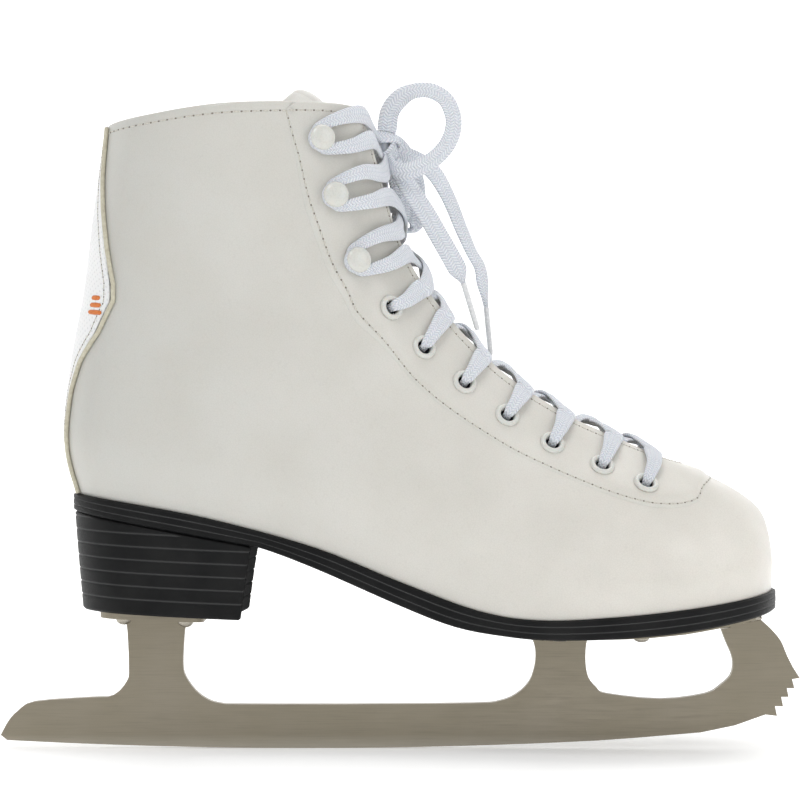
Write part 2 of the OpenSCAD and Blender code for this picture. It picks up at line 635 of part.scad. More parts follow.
// Columns where the strand from each eyelet or hook crosses the edge of the facing
EYELET_EDGE = [4.73, 4.45, 3.98, 3.43, 2.87, 2.2, 1.45];
HOOK_EDGE = [6, 5.52, 5.12];
LACE_FOLD = [4.2, 2.3];         // section of the lace where it is gathered in an eyelet
FLAT = [lace_w, lace_t];
GATHERED = [0.8*lace_w, 1.2*lace_t];

function throat_up(u) =
    let (t = boot(u + 0.1, EDGE) - boot(u - 0.1, EDGE))
    unit([t.z, 0, -t.x]);

// A stop of the lace is [point, direction of its face, section]
function stop_on(u, v, out, size) = [skin(u, v, out), normal(u, v), size];

UNDER = -upper_t - lining_t - 1.6; // depth of the lace below the facing
// Out of an eyelet on one side and up to the edge of the facing
function leaving(s, e) =
    let (a = EYELETS[e], edge = [EYELET_EDGE[e], EDGE], p = mix(a, edge, 0.4), q = mix(a, edge, 0.8),
        up = throat_up(edge[0]))
    [[skin(s*a[0], a[1], 0), up, LACE_FOLD],
        [skin(s*a[0], a[1], facing_t + 1.5), unit(normal(s*a[0], a[1]) - 0.6*up), LACE_FOLD],
        stop_on(s*p[0], p[1], facing_t + 2.4, GATHERED),
        stop_on(s*q[0], q[1], facing_t + 1.4, FLAT),
        [skin(s*edge[0], EDGE, facing_t + 1.3), unit(normal(s*edge[0], EDGE) + up), FLAT]];

// From an eyelet on one side, over its edge, across the tongue and below the edge of the other side
function strand(s, e, lift) =
    let (out = leaving(s, e), from = out[len(out) - 1][0], b = EYELETS[e - 1],
        edge = [EYELET_EDGE[e - 1], EDGE], to = boot(-s*edge[0], EDGE), r = mix(b, edge, 0.5),
        up = throat_up(mix(EYELET_EDGE[e], edge[0], 0.5)))
    concat(out,
        [[mix(from, to, 0.22) + 2.8*up, up, FLAT],
            [mix(from, to, 0.5) + (3.6 + lift)*up, up, FLAT],
            [mix(from, to, 0.75) + up, unit(up + [0, -0.5*s, 0]), FLAT],
            [mix(from, to, 0.95) - 4.6*up, normal(-s*edge[0], EDGE), FLAT],
            stop_on(-s*r[0], r[1], UNDER, GATHERED),
            stop_on(-s*b[0], b[1], UNDER, LACE_FOLD)]);

TURN_R = HOOK_NECK_R + 1.3;     // radius of the lace around a hook's neck
TURN_SIZE = [3, 2];
// Round a hook: in over the edge below it, behind its neck and out over the edge above it
function hook_turn(s, h) =
    let (u = s*HOOKS[h][0], v = HOOKS[h][1], n = normal(u, v),
        p = skin(u, v, facing_t + GAP + HOOK_BASE_H + 1.7), edge = skin(s*HOOK_EDGE[h], EDGE, facing_t + 1.4),
        e = unit((edge - p) - ((edge - p)*n)*n), up = let (c = cross(n, e)) c.z > 0 ? c : -c,
        reach = norm(edge - p), side = unit(n + throat_up(HOOK_EDGE[h])))
    [[edge - 4.2*up, side, FLAT],
        [p + 0.55*reach*e - 4*up, n, [0.9*lace_w, lace_t]],
        [p + 2*e - TURN_R*up, up, TURN_SIZE],
        for (a = [-60 : 40 : 60]) [p - TURN_R*cos(a)*e + TURN_R*sin(a)*up, e*cos(a) - up*sin(a), TURN_SIZE],
        [p + 2*e + TURN_R*up, -up, TURN_SIZE],
        [p + 0.55*reach*e + 4*up, n, [0.9*lace_w, lace_t]],
        [edge + 4.2*up, side, FLAT]];

// Between two points of the edges, over the tongue
function bridge(a, b, up, lift) =
    [for (t = [0.25, 0.5, 0.75]) [mix(a, b, t) + (3*sin(180*t) + lift)*up, up, FLAT]];

KNOT = [-6.5, 0, 228];
CROSS = 0.8;                    // half of the distance between two strands that cross
// One half of the lace, from the lowest eyelet of side c to the knot
function chain(c) =
    let (lift = c*CROSS, start = leaving(c, 0), h1 = hook_turn(-c, 2), h2 = hook_turn(c, 1),
        h3 = hook_turn(-c, 0))
    concat([for (k = [0 : 5]) each strand(c*(k % 2 == 0 ? 1 : -1), 6 - k, lift)], start,
        bridge(start[4][0], h1[0][0], throat_up(4.9), lift), h1,
        bridge(h1[len(h1) - 1][0], h2[0][0], throat_up(5.3), lift), h2,
        bridge(h2[len(h2) - 1][0], h3[0][0], throat_up(5.8), lift), h3,
        [[KNOT + [-2, c*3, 3], [0.8, 0, 0.6], GATHERED]]);

// The bar between the two lowest eyelets: below both edges and over the tongue
BAR_END = 0.25;                 // how far along its way below the facing the bar starts
function bar() =
    let (b = EYELETS[6], edge = [EYELET_EDGE[6], EDGE], r = mix(b, edge, 0.5), start = mix(b, edge, BAR_END),
        up = throat_up(edge[0]), left = boot(-edge[0], EDGE), right = boot(edge[0], EDGE))
    [stop_on(-start[0], start[1], UNDER, LACE_FOLD), stop_on(-r[0], r[1], UNDER, GATHERED),
        [left - 4*up, up, FLAT], [mix(left, right, 0.5) + up, up, FLAT], [right - 4*up, up, FLAT],
        stop_on(r[0], r[1], UNDER, GATHERED), stop_on(b[0], b[1], UNDER, LACE_FOLD)];

module ribbon(stops) {
    sweep([for (p = stops) p[0]], [for (p = stops) p[2]], [for (p = stops) p[1]]);
}

module lace() {
    color([0.93, 0.94, 0.96]) {
        ribbon(concat(bar(), chain(1)));
        ribbon(chain(-1));
    }
}

module lace_knot() {
    color([0.93, 0.94, 0.96]) translate(KNOT) scale([5, 7, 9]) sphere(1, $fn = 24);
}

// Free ends of the lace. Each stop is [point, direction of its face].
LOOP_UPPER = [
    [[-5, -3, 234], [0, -1, 0.5]], [[-3.8, -5, 241], [0, -1, 0.3]],
    [[0, -6, 246], [0.2, -1, 0.4]], [[5, -6.5, 248.6], [0, -1, 0.7]],
    [[11.4, -7, 248.8], [0.1, -1, 0.7]], [[17, -7.5, 245.6], [0.5, -1, 0.5]],
    [[19.8, -8, 240], [0.7, -1, 0]], [[20.1, -8, 234.5], [0.7, -1, 0]],
    [[18.2, -8, 229], [0.6, -1, -0.4]], [[14.4, -9, 224.2], [0.4, -1, -0.6]],
    [[9.1, -10.5, 220.4], [0.2, -1, -0.7]], [[3, -11.5, 218], [0, -1, -0.7]],
    [[-1.9, -10.5, 218.5], [-0.2, -1, -0.6]], [[-5, -6, 222], [-0.4, -1, -0.4]]
];
LOOP_LOWER = [
    [[-4, 4, 231], [0.4, -1, 0.2]], [[0, 9, 229], [0.5, -1, 0.3]],
    [[4, 13, 223], [0.6, -1, 0.2]], [[6, 16, 216], [0.4, -1, 0]],
    [[6.5, 18, 208], [0.3, -1, 0]], [[6, 18.5, 201], [0.3, -1, -0.4]],
    [[3.5, 17.5, 197.5], [0.2, 0, -1]], [[0.8, 15.5, 200], [-0.3, 1, -0.4]],
    [[0.2, 12.5, 206], [-0.3, 1, 0]], [[0, 9, 212], [-0.3, 1, 0]],
    [[-1.5, 5.5, 218], [-0.3, 1, 0.3]], [[-4, 3, 222], [-0.4, 1, 0.3]]
];
TAIL_OUTER = [
    [[-4, -1.5, 223], [0.6, -1, 0]], [[-1, -3, 219.5], [0.5, -1, 0]],
    [[3, -5, 213], [0.4, -1, 0]], [[9.5, -7.5, 203], [0.3, -1, 0]],
    [[14, -9, 195], [0.2, -1, 0]], [[18.5, -10.5, 187], [0.2, -1, 0]],
    [[22, -10.5, 180.5], [0.2, -1, 0]], [[24, -10.5, 175.6], [0.1, -1, 0]]
];
TAIL_INNER = [
    [[-3, 1.5, 226], [0.2, -1, 0.3]], [[3, 3.5, 225], [0.2, -1, 0.4]],
    [[11.8, 5, 220], [0.4, -1, 0.4]], [[18, 6.5, 210.5], [0.7, -0.8, 0.3]],
    [[23.6, 8, 197.2], [0.8, -0.7, 0.3]], [[27.5, 9, 188.5], [0.8, -0.6, 0.4]],
    [[30.6, 9.5, 183], [0.8, -0.6, 0.3]], [[31.8, 9.5, 176], [0.8, -0.6, 0.1]],
    [[33.1, 9.5, 167], [0.8, -0.6, 0.1]]
];
AGLET_R = 1;
AGLET_OUTER = [[24, -10.5, 175.6], [29.3, -9.5, 158.2]];
AGLET_INNER = [[33.1, 9.5, 167], [34.8, 9.5, 149]];

module free_lace(stops) {
    color([0.93, 0.94, 0.96]) ribbon([for (p = stops) [p[0], unit(p[1]), FLAT]]);
}

module aglet(ends) {
    d = ends[1] - ends[0];
    color([0.95, 0.95, 0.96])
        translate(ends[0]) rotate([0, acos(d.z/norm(d)), atan2(d.y, d.x)])
            cylinder(norm(d), AGLET_R, AGLET_R);
}

module lace_loop_upper() { free_lace(LOOP_UPPER); }
module lace_loop_lower() { free_lace(LOOP_LOWER); }
module lace_tail_outer() { free_lace(TAIL_OUTER); }
module lace_tail_inner() { free_lace(TAIL_INNER); }
module aglet_outer() { aglet(AGLET_OUTER); }
module aglet_inner() { aglet(AGLET_INNER); }

blade();
sole_plate();
heel_plate();
sole_plate_rivets();
heel_plate_rivets();
outsole();
heel_block();
heel_nails();
shank();
insole_board();
sock_liner();
upper();
facing();
backstay();
piping_outer();
piping_inner();
toe_puff();
heel_counter();
ankle_padding_outer();
ankle_padding_inner();
lining();
eyelets_outer();
eyelets_inner();
hooks_outer();
hooks_inner();
tongue_shell();
tongue_padding();
tongue_lining();
lace();
lace_knot();
lace_loop_upper();
lace_loop_lower();
lace_tail_outer();
lace_tail_inner();
aglet_outer();
aglet_inner();
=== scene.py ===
"""Looks of a figure skate: a stitched white boot with flat laces on a riveted steel blade.

Lengths are in millimetres up to mesh making, where MM turns them into metres. +X is the toe, +Y the
inner side of the foot and +Z up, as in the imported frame.
"""
import math

import bpy
import numpy as np
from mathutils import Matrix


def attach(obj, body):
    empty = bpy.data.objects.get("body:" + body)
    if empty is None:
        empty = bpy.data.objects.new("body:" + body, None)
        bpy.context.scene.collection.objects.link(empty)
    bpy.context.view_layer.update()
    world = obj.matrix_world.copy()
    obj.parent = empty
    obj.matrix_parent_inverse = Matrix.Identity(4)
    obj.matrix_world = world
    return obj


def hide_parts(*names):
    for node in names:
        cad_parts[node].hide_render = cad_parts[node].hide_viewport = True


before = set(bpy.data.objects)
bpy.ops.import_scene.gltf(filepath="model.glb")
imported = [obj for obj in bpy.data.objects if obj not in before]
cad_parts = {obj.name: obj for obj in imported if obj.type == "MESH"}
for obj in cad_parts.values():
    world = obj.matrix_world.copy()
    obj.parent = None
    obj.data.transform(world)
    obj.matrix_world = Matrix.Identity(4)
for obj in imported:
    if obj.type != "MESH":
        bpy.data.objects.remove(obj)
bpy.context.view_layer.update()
MM = 0.001

# ---- Camera ----

VIEW_DISTANCE = 1.05
VIEW_WIDTH = 0.304
VIEW_HEIGHT = 0.132
SENSOR = 36.0


def make_camera():
    data = bpy.data.cameras.new("camera")
    data.sensor_width = SENSOR
    data.lens = SENSOR * VIEW_DISTANCE / VIEW_WIDTH
    data.dof.use_dof = False
    camera = bpy.data.objects.new("camera", data)
    camera.location = (0, -VIEW_DISTANCE, VIEW_HEIGHT)
    camera.rotation_euler = (math.radians(90), 0, 0)
    bpy.context.scene.collection.objects.link(camera)
    bpy.context.scene.camera = camera


make_camera()

# ---- Curves and the boot's surface ----


def spline(a, b, c, d, t):
    """A smooth curve from b to c, at t = 0 .. 1, with a and d before and after them."""
    square = 2 * a - 5 * b + 4 * c - d
    cube = 3 * b - a - 3 * c + d
    return ((2 * b) + (c - a) * t + square * t * t + cube * t * t * t) / 2


def along(points, k):
    """Points of the smooth open curve through points, at k = 0 .. len - 1 (an array)."""
    points = np.asarray(points, float)
    last = len(points) - 1
    padded = np.concatenate([2 * points[:1] - points[1:2], points, 2 * points[-1:] - points[-2:-1]])
    k = np.clip(np.asarray(k, float), 0, last)
    i = np.minimum(np.floor(k).astype(int), last - 1)
    t = k - i
    if points.ndim > 1:
        t = t[..., None]
    return spline(padded[i], padded[i + 1], padded[i + 2], padded[i + 3], t)


def smooth(points, steps):
    return along(points, np.linspace(0, len(points) - 1, (len(points) - 1) * steps + 1))


def ramp(x, low, high):
    t = np.clip((np.asarray(x, float) - low) / (high - low), 0, 1)
    return t * t * (3 - 2 * t)


def size_of(v):
    return np.linalg.norm(v, axis=-1)


def unit(v):
    v = np.asarray(v, float)
    return v / np.maximum(size_of(v)[..., None], 1e-12)


def paired(*values):
    """Arrays of one shape."""
    return np.broadcast_arrays(*(np.asarray(v, float) for v in values))


def around(n):
    """Angles of a whole turn."""
    return np.linspace(0, 2 * math.pi, n, endpoint=False)


def far_along(points):
    """Length along a polyline to each of its points."""
    return np.concatenate([[0], np.cumsum(size_of(np.diff(points, axis=0)))])


def tangents(points, close=False):
    if close:
        return unit(np.roll(points, -1, 0) - np.roll(points, 1, 0))
    ends = points[1:2] - points[:1], points[-1:] - points[-2:-1]
    return unit(np.concatenate([ends[0], points[2:] - points[:-2], ends[1]]))


def unflipped(across):
    """Directions along a route, turned so that none points against the one before it."""
    for i in range(1, len(across)):
        if across[i] @ across[i - 1] < 0:
            across[i] = -across[i]
    return across


SOLE_TOP = smooth([[-126, 97.4], [-95, 92.8], [-67, 87.4], [-31, 77.4], [0, 65], [28, 55],
                   [50, 51.6], [78, 52.8], [112, 56.2], [146, 61]], 5)
SOLE_BOTTOM = smooth([[-60, 79.4], [-49, 76.6], [-30, 69.3], [0, 56.2], [20, 48.8], [38, 45.6],
                      [55, 44.3], [82, 45.1], [112, 48], [146, 53.6]], 5)
HEEL_SEAT = np.array([[-130, 91.5], [-54, 77.9]])


def sole_z(x):
    return np.interp(x, SOLE_TOP[:, 0], SOLE_TOP[:, 1])


def tread_z(x):
    seat = np.interp(x, HEEL_SEAT[:, 0], HEEL_SEAT[:, 1])
    return np.where(np.asarray(x) < HEEL_SEAT[1, 0], seat, np.interp(x, SOLE_BOTTOM[:, 0], SOLE_BOTTOM[:, 1]))


# Columns from the middle of the toe to the middle of the heel, each with six points from the sole to
# the top edge
NET = np.array([
    141.2, 0, 61, 141.3, 0, 74, 138, 0, 88.5, 129.6, 0, 96.6, 117, 0, 103.3, 103.4, 0, 108,
    133, -26.5, 59.6, 134, -27, 73, 130, -23.5, 87, 121, -18, 97.5, 109.5, -12.5, 104.5, 99, -8, 109.3,
    112, -40.5, 56.3, 112.5, -41.5, 69, 109, -37.5, 83, 102, -29.5, 96, 93, -20, 106, 84, -11.5, 115.5,
    80, -44.5, 53.2, 81, -46, 66, 79, -42.5, 82.5, 73, -34, 98.5, 66, -23, 113, 58, -12.5, 128,
    45, -40.5, 51, 45, -42, 68, 43, -40, 87, 39, -34, 106, 33, -25, 127, 30, -13.5, 149,
    5, -31, 63.2, 7, -35, 82, 8, -36.5, 104, 7, -33, 128, 4, -25, 155, 1.9, -15, 185,
    -22, -29, 73.8, -22, -34.5, 96, -19, -36, 126, -15, -32, 160, -13, -25, 200, -13.5, -18.5, 233,
    -40, -29.5, 80, -42, -34.5, 103, -40, -36.5, 133, -33, -34.5, 166, -25, -31, 205, -20.5, -24.5, 241,
    -75, -30.5, 89.3, -78, -34, 109, -79, -34.5, 138, -72, -33.5, 170, -65, -36, 206, -62, -38, 240.2,
    -108, -22, 95.3, -113, -26, 114, -112, -26, 142, -106.5, -24.5, 172, -101, -25, 204, -97, -25, 236.6,
    -122.2, 0, 97, -126.6, 0, 118, -124.3, 0, 145, -119.2, 0, 173, -115.5, 0, 203, -111, 0, 235,
], float).reshape(-1, 6, 3)
HEEL = len(NET) - 1
TURN = 2 * HEEL
EDGE = NET.shape[1] - 1
ROUND = np.concatenate([NET, (NET * [1, -1, 1])[HEEL - 1:0:-1]])
ROUND = np.concatenate([2 * ROUND[:, :1] - ROUND[:, 1:2], ROUND, 2 * ROUND[:, -1:] - ROUND[:, -2:-1]], axis=1)


def net_point(u, v):
    """Points of the net's surface: u goes round it by columns, v up it by rows."""
    u, v = paired(u, v)
    k = np.clip(np.floor(v).astype(int), 0, EDGE - 1)
    t = (v - k)[..., None]
    i = np.floor(u).astype(int)
    s = (u - i)[..., None]

    def column(c):
        c = c % TURN
        return spline(ROUND[c, k], ROUND[c, k + 1], ROUND[c, k + 2], ROUND[c, k + 3], t)

    return spline(column(i - 1), column(i), column(i + 1), column(i + 2), s)


def swing(x, z):
    """How far the foot's middle line bends to the inner side."""
    waist = ramp(x, -70, -20) * (1 - ramp(x, 10, 60)) * (1 - ramp(z, 90, 130))
    return 4 * ramp(x, 80, 141) - 2.5 * waist


def boot(u, v):
    """Points of the boot's surface. Past the top edge, v - EDGE is a length in millimetres."""
    u, v = paired(u, v)
    p = net_point(u, np.minimum(v, EDGE)).copy()
    q = net_point(u, np.zeros_like(v))
    p[..., 2] += np.clip(1 - v, 0, 1) ** 2 * (sole_z(q[..., 0]) + 0.1 - q[..., 2])
    p[..., 1] += swing(p[..., 0], p[..., 2])
    past = np.maximum(v - EDGE, 0)[..., None]
    if past.any():
        p += past * unit(boot(u, np.full_like(v, EDGE)) - boot(u, np.full_like(v, EDGE - 0.04)))
    return p


def normal(u, v):
    e = 0.02
    u, v = paired(u, np.minimum(v, EDGE))
    dv = boot(u, np.minimum(EDGE, v + e)) - boot(u, np.maximum(0, v - e))
    return unit(np.cross(dv, boot(u + e, v) - boot(u - e, v)))


def skin(u, v, out):
    """Points of the boot's surface, moved out along its normal."""
    return boot(u, v) + np.asarray(out, float)[..., None] * normal(u, v)


UPPER_T = 2.0
LINING_T = 1.2
FACING_T = 1.2
BACKSTAY_T = 0.9
PAD_T = 6.0
LINER_GAP = 0.2
TOE_PUFF_T = 1.8
COUNTER_T = 2.4


def fold(u):
    """Columns counted from the toe on both sides."""
    k = np.mod(u, TURN)
    return np.where(k <= HEEL, k, TURN - k)


def lining_depth(u, v):
    """How deep the lining lies: it makes room for toe puff, counter and ankle padding."""
    f = fold(u)
    toe = (1 - ramp(f, 2, 3)) * (1 - ramp(v, 2.6, 3.6))
    counter = ramp(f, 7, 7.8) * (1 - ramp(v, 1.5, 2.1))
    pad = ramp(f, 6.6, 7.3) * (1 - ramp(f, 9.1, 9.8)) * ramp(v, 1.6, 2.3) * (1 - ramp(v, 4.2, 4.8))
    return UPPER_T + LINER_GAP + TOE_PUFF_T * toe + COUNTER_T * counter + PAD_T * pad


# ---- Mesh making ----


def add_mesh(name, shape, material, replaces=(), body="boot", slot=None, ride=True, **stored):
    """A smooth piece from (points in millimetres, faces), with stored point vectors that its material reads.
    The slot argument is not used."""
    verts, faces = shape[:2]
    mesh = bpy.data.meshes.new(name)
    mesh.from_pydata((np.asarray(verts, float) * MM).tolist(), [], [list(map(int, f)) for f in faces])
    mesh.update()
    mesh.polygons.foreach_set("use_smooth", [True] * len(mesh.polygons))
    for key, values in stored.items():
        attribute = mesh.attributes.new(key, "FLOAT_VECTOR", "POINT")
        attribute.data.foreach_set("vector", np.asarray(values, np.float32).ravel())
    mesh.materials.append(material)
    piece = bpy.data.objects.new(name, mesh)
    bpy.context.scene.collection.objects.link(piece)
    if ride:
        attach(piece, body)
    if replaces:
        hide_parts(*replaces)
    return piece


def add_second(piece, material, chosen):
    """A second material, for the faces where chosen is true."""
    piece.data.materials.append(material)
    piece.data.polygons.foreach_set("material_index", [int(c) for c in chosen])


def join_grids(parts):
    """One list of points and faces from several (points, faces) pairs."""
    verts, faces, start = [], [], 0
    for v, f in parts:
        v = np.asarray(v, float).reshape(-1, 3)
        verts.append(v)
        faces += [[a + start for a in face] for face in f]
        start += len(v)
    return np.concatenate(verts), faces


def grid_faces(n, m, ring_n=False, ring_m=False, flip=False):
    """Faces of an n by m grid of points, closed to a ring one way or both."""
    faces = []
    for i in range(n if ring_n else n - 1):
        for j in range(m if ring_m else m - 1):
            a, b = i * m + j, i * m + (j + 1) % m
            c, d = ((i + 1) % n) * m + (j + 1) % m, ((i + 1) % n) * m + j
            faces.append([a, d, c, b] if flip else [a, b, c, d])
    return faces


def caps(n, m, flip=False):
    """The two end faces of a tube of n rings of m points."""
    ends = [list(range(m))[::-1], list(range((n - 1) * m, n * m))]
    return [face[::-1] for face in ends] if flip else ends


def rounded_rows(outer, inner, rim):
    """Rows of a closed section through a layer, with both of its long edges rounded."""
    mid = (outer + inner) / 2
    half = (outer - inner) / 2
    r = size_of(half)[..., None]

    def edge(j, step):
        tangent = unit(mid[:, j] - mid[:, step])
        turns = np.linspace(0, math.pi, rim + 2)[1:-1]
        return [mid[:, j] + half[:, j] * math.cos(a) + tangent * r[:, j] * math.sin(a) for a in turns]

    m = outer.shape[1]
    rows = [outer[:, j] for j in range(m)] + edge(m - 1, m - 2)
    rows += [inner[:, j] for j in range(m - 1, -1, -1)] + edge(0, 1)[::-1]
    return np.stack(rows, axis=1)


HOLE_R = 3.7
HOLE_REACH = 12


def pierced(verts, faces, holes):
    """The faces that no round hole takes away. Each hole is a (point, direction)."""
    centre = np.array([verts[f].mean(0) for f in faces])
    cut = np.zeros(len(faces), bool)
    for p, d in holes:
        away = centre - p
        deep = away @ d
        cut |= (size_of(away - deep[:, None] * d) < HOLE_R) & (np.abs(deep) < HOLE_REACH)
    return [f for f, c in zip(faces, cut) if not c]


def layer(us, vs, out, into, ring=False, rim=3, holes=()):
    """Points, faces and flat coordinates of a layer of leather or cloth over a patch of the boot.
    us, vs, out and into are (columns, rows) arrays."""
    outer = skin(us, vs, out)
    inner = skin(us, vs, -np.asarray(into, float))
    n, m = us.shape
    section = rounded_rows(outer, inner, rim)
    k = section.shape[1]
    faces = grid_faces(n, k, ring_n=ring, ring_m=True)
    if not ring:
        faces += caps(n, k)
    along_v = np.concatenate([np.zeros((n, 1)), np.cumsum(size_of(np.diff(outer, axis=1)), 1)], 1)
    across = (us - us.mean()) * size_of(boot(us + 0.05, vs) - boot(us - 0.05, vs)) * 10
    order = list(range(m)) + [m - 1] * rim + list(range(m - 1, -1, -1)) + [0] * rim
    flat = np.stack([across, along_v, 0 * across], axis=-1)[:, order]
    verts = section.reshape(-1, 3)
    return verts, pierced(verts, faces, holes), flat.reshape(-1, 3)


def patch(u, v):
    return np.meshgrid(np.asarray(u, float), np.asarray(v, float), indexing="ij")


def sweep(route, sizes, face, section, close=False):
    """Points, faces and (length along, place across) of a section swept along a route.
    section holds (across, out) pairs for a size of 2 by 2."""
    route = np.asarray(route, float)
    n = len(route)
    t = tangents(route, close)
    w = unflipped(unit(np.cross(t, face)))
    h = np.cross(t, w)
    flip = np.sign(np.sum(h * face, axis=1, keepdims=True))
    h = h * np.where(flip == 0, 1, flip)
    section = np.asarray(section, float)
    half = np.asarray(sizes, float) / 2
    rings = (route[:, None] + (half[:, None, :1] * section[None, :, :1]) * w[:, None]
             + (half[:, None, 1:] * section[None, :, 1:]) * h[:, None])
    k = len(section)
    turned = np.sum(np.cross(w[0], h[0]) * t[0]) < 0
    faces = grid_faces(n, k, ring_n=close, ring_m=True, flip=not turned)
    if not close:
        faces += caps(n, k, flip=turned)
    places = np.concatenate([np.repeat(far_along(route), k)[:, None], np.tile(section, (n, 1))], axis=1)
    return rings.reshape(-1, 3), faces, places


def circle(n):
    return np.stack([np.cos(around(n)), np.sin(around(n))], axis=1)


def lathe(profile, at, direction, segments):
    """A turned shape: profile holds (radius, height) pairs along the direction from a point."""
    d = unit(direction)
    a = unit(np.cross(d, [0, 0, 1] if abs(d[2]) < 0.9 else [1, 0, 0]))
    profile = np.asarray(profile, float)
    ring = circle(segments) @ [a, np.cross(d, a)]
    verts = at + ring[:, None] * profile[None, :, :1] + profile[None, :, 1:] * d
    return verts.reshape(-1, 3), grid_faces(segments, len(profile), ring_n=True)


# Rings of a short thread, as (place along it, share of its radius)
CAPSULE_RINGS = ((-1, 0.35), (-0.8, 0.85), (0, 1.0), (0.8, 0.85), (1, 0.35))
CAPSULE_SIDES = 6


def capsule(at, direction, up, length, r, squash):
    """A short thread: a rounded bar along a direction."""
    d = unit(direction)
    h = unit(up - (up @ d) * d)
    w = np.cross(d, h)
    rings = []
    for s, k in CAPSULE_RINGS:
        for a in around(CAPSULE_SIDES):
            rings.append(at + d * s * length / 2 + k * r * (math.cos(a) * w + squash * math.sin(a) * h))
    n, m = len(CAPSULE_RINGS), CAPSULE_SIDES
    return np.array(rings), grid_faces(n, m, ring_m=True) + caps(n, m)


def resample(points, pitch):
    """Evenly spaced points of a polyline, about a pitch apart, with their directions."""
    far = far_along(points)
    count = max(2, int(round(far[-1] / pitch)))
    at = (np.arange(count) + 0.5) * far[-1] / count
    place = np.stack([np.interp(at, far, points[:, k]) for k in range(3)], axis=1)
    ahead = np.stack([np.interp(at + 0.4, far, points[:, k]) for k in range(3)], axis=1)
    return place, unit(ahead - place), np.interp(at, far, np.arange(len(points)))


def inset(u, distance):
    """Rows that lie a distance below the top edge."""
    rise = size_of(boot(u, EDGE) - boot(u, EDGE - 0.1)) * 10
    return EDGE - distance / rise


# ---- Materials ----


def rgb(r, g, b):
    """Linear colour of an 8-bit one."""
    return *(((c / 255 + 0.055) / 1.055) ** 2.4 if c > 10 else c / 3294.6 for c in (r, g, b)), 1.0


class Finish:
    """A procedural material, with short ways to make and join its nodes."""

    def __init__(self, name, fixed):
        self.material = bpy.data.materials.new(name)
        self.material.use_nodes = True
        self.tree = self.material.node_tree
        self.shader = self.tree.nodes["Principled BSDF"]
        for key, value in fixed.items():
            self.shader.inputs[key].default_value = value

    def node(self, kind, inputs, out=0, **settings):
        made = self.tree.nodes.new("ShaderNode" + kind)
        for key, value in settings.items():
            setattr(made, key, value)
        for key, value in inputs.items():
            if isinstance(value, bpy.types.NodeSocket):
                self.tree.links.new(value, made.inputs[key])
            else:
                made.inputs[key].default_value = value
        return made.outputs[out]

    def place(self, scale=(1000, 1000, 1000)):
        """Place on the object, in millimetres by default."""
        where = self.node("TexCoord", {}, out="Object")
        return self.node("Mapping", {"Vector": where, "Scale": scale})

    def stored(self, name):
        """A stored point attribute."""
        return self.node("Attribute", {}, out="Vector", attribute_name=name)

    def axis(self, vector, which):
        return self.node("SeparateXYZ", {"Vector": vector}, out=which)

    def noise(self, vector, scale, detail=3.0, rough=0.5):
        return self.node("TexNoise", {"Vector": vector, "Scale": scale, "Detail": detail,
                                      "Roughness": rough})

    def pores(self, vector, scale):
        return self.node("TexVoronoi", {"Vector": vector, "Scale": scale}, feature="DISTANCE_TO_EDGE")

    def math(self, operation, a, b=0.0, c=0.0):
        return self.node("Math", {0: a, 1: b, 2: c}, operation=operation)

    def span(self, value, low, high, to_low=0.0, to_high=1.0):
        return self.node("MapRange", {"Value": value, "From Min": low, "From Max": high,
                                      "To Min": to_low, "To Max": to_high})

    def mix(self, factor, a, b):
        return self.node("Mix", {0: factor, 6: a, 7: b}, out=2, data_type="RGBA")

    def tint(self, colour, value, low, high, share, other):
        """Up to a share of another colour where value goes from low to high."""
        return self.mix(self.span(value, low, high, 0.0, share), colour, other)

    def rough(self, value, low, high):
        """Roughness that follows a noise."""
        return self.span(value, 0.3, 0.7, low, high)

    def wave(self, value):
        """A sine of a value in turns, from 0 to 1."""
        turn = self.math("MULTIPLY", value, 2 * math.pi)
        return self.math("MULTIPLY_ADD", self.math("SINE", turn), 0.5, 0.5)

    def finish(self, colour, rough, heights):
        """heights holds (height, distance in millimetres, strength) of each bump."""
        self.tree.links.new(colour, self.shader.inputs["Base Color"])
        self.tree.links.new(rough, self.shader.inputs["Roughness"])
        bump = None
        for height, distance, strength in heights:
            inputs = {"Height": height, "Distance": distance * MM, "Strength": strength}
            if bump is not None:
                inputs["Normal"] = bump
            bump = self.node("Bump", inputs)
        if bump is not None:
            self.tree.links.new(bump, self.shader.inputs["Normal"])
        return self.material


SOFT_SKIN = {"Specular IOR Level": 0.45, "Coat Roughness": 0.3, "Subsurface Weight": 0.04,
             "Subsurface Scale": 0.002}


PORE = 0.9


def leather(name, rear, toe):
    """Smooth leather: two tones from the heel to the toe, clouds, pores, scuffs and soft creases."""
    f = Finish(name, {**SOFT_SKIN, "Coat Weight": 0.12})
    at = f.place()
    colour = f.mix(f.span(f.axis(at, "X"), -120, 140), rear, toe)
    colour = f.tint(colour, f.noise(at, 0.035, 4.0), 0.35, 0.7, 0.35, f.mix(0.5, rear, rgb(190, 184, 170)))
    pore = f.pores(at, 1 / PORE)
    colour = f.mix(f.span(pore, 0.0, 0.12, 0.10, 0.0), colour, rgb(150, 146, 136))
    scuff = f.noise(f.place((240, 900, 900)), 0.5, 5.0, 0.7)
    colour = f.tint(colour, scuff, 0.66, 0.78, 0.25, rgb(176, 172, 162))
    crease = f.noise(f.place((60, 160, 260)), 1.0, 2.0)
    return f.finish(colour, f.rough(f.noise(at, 0.2), 0.28, 0.44),
                    [(pore, 0.05, 0.35), (crease, 0.35, 0.25), (f.noise(at, 0.12, 2.0), 0.8, 0.2)])


DIMPLE_TURN = 2.1     # radians for each millimetre


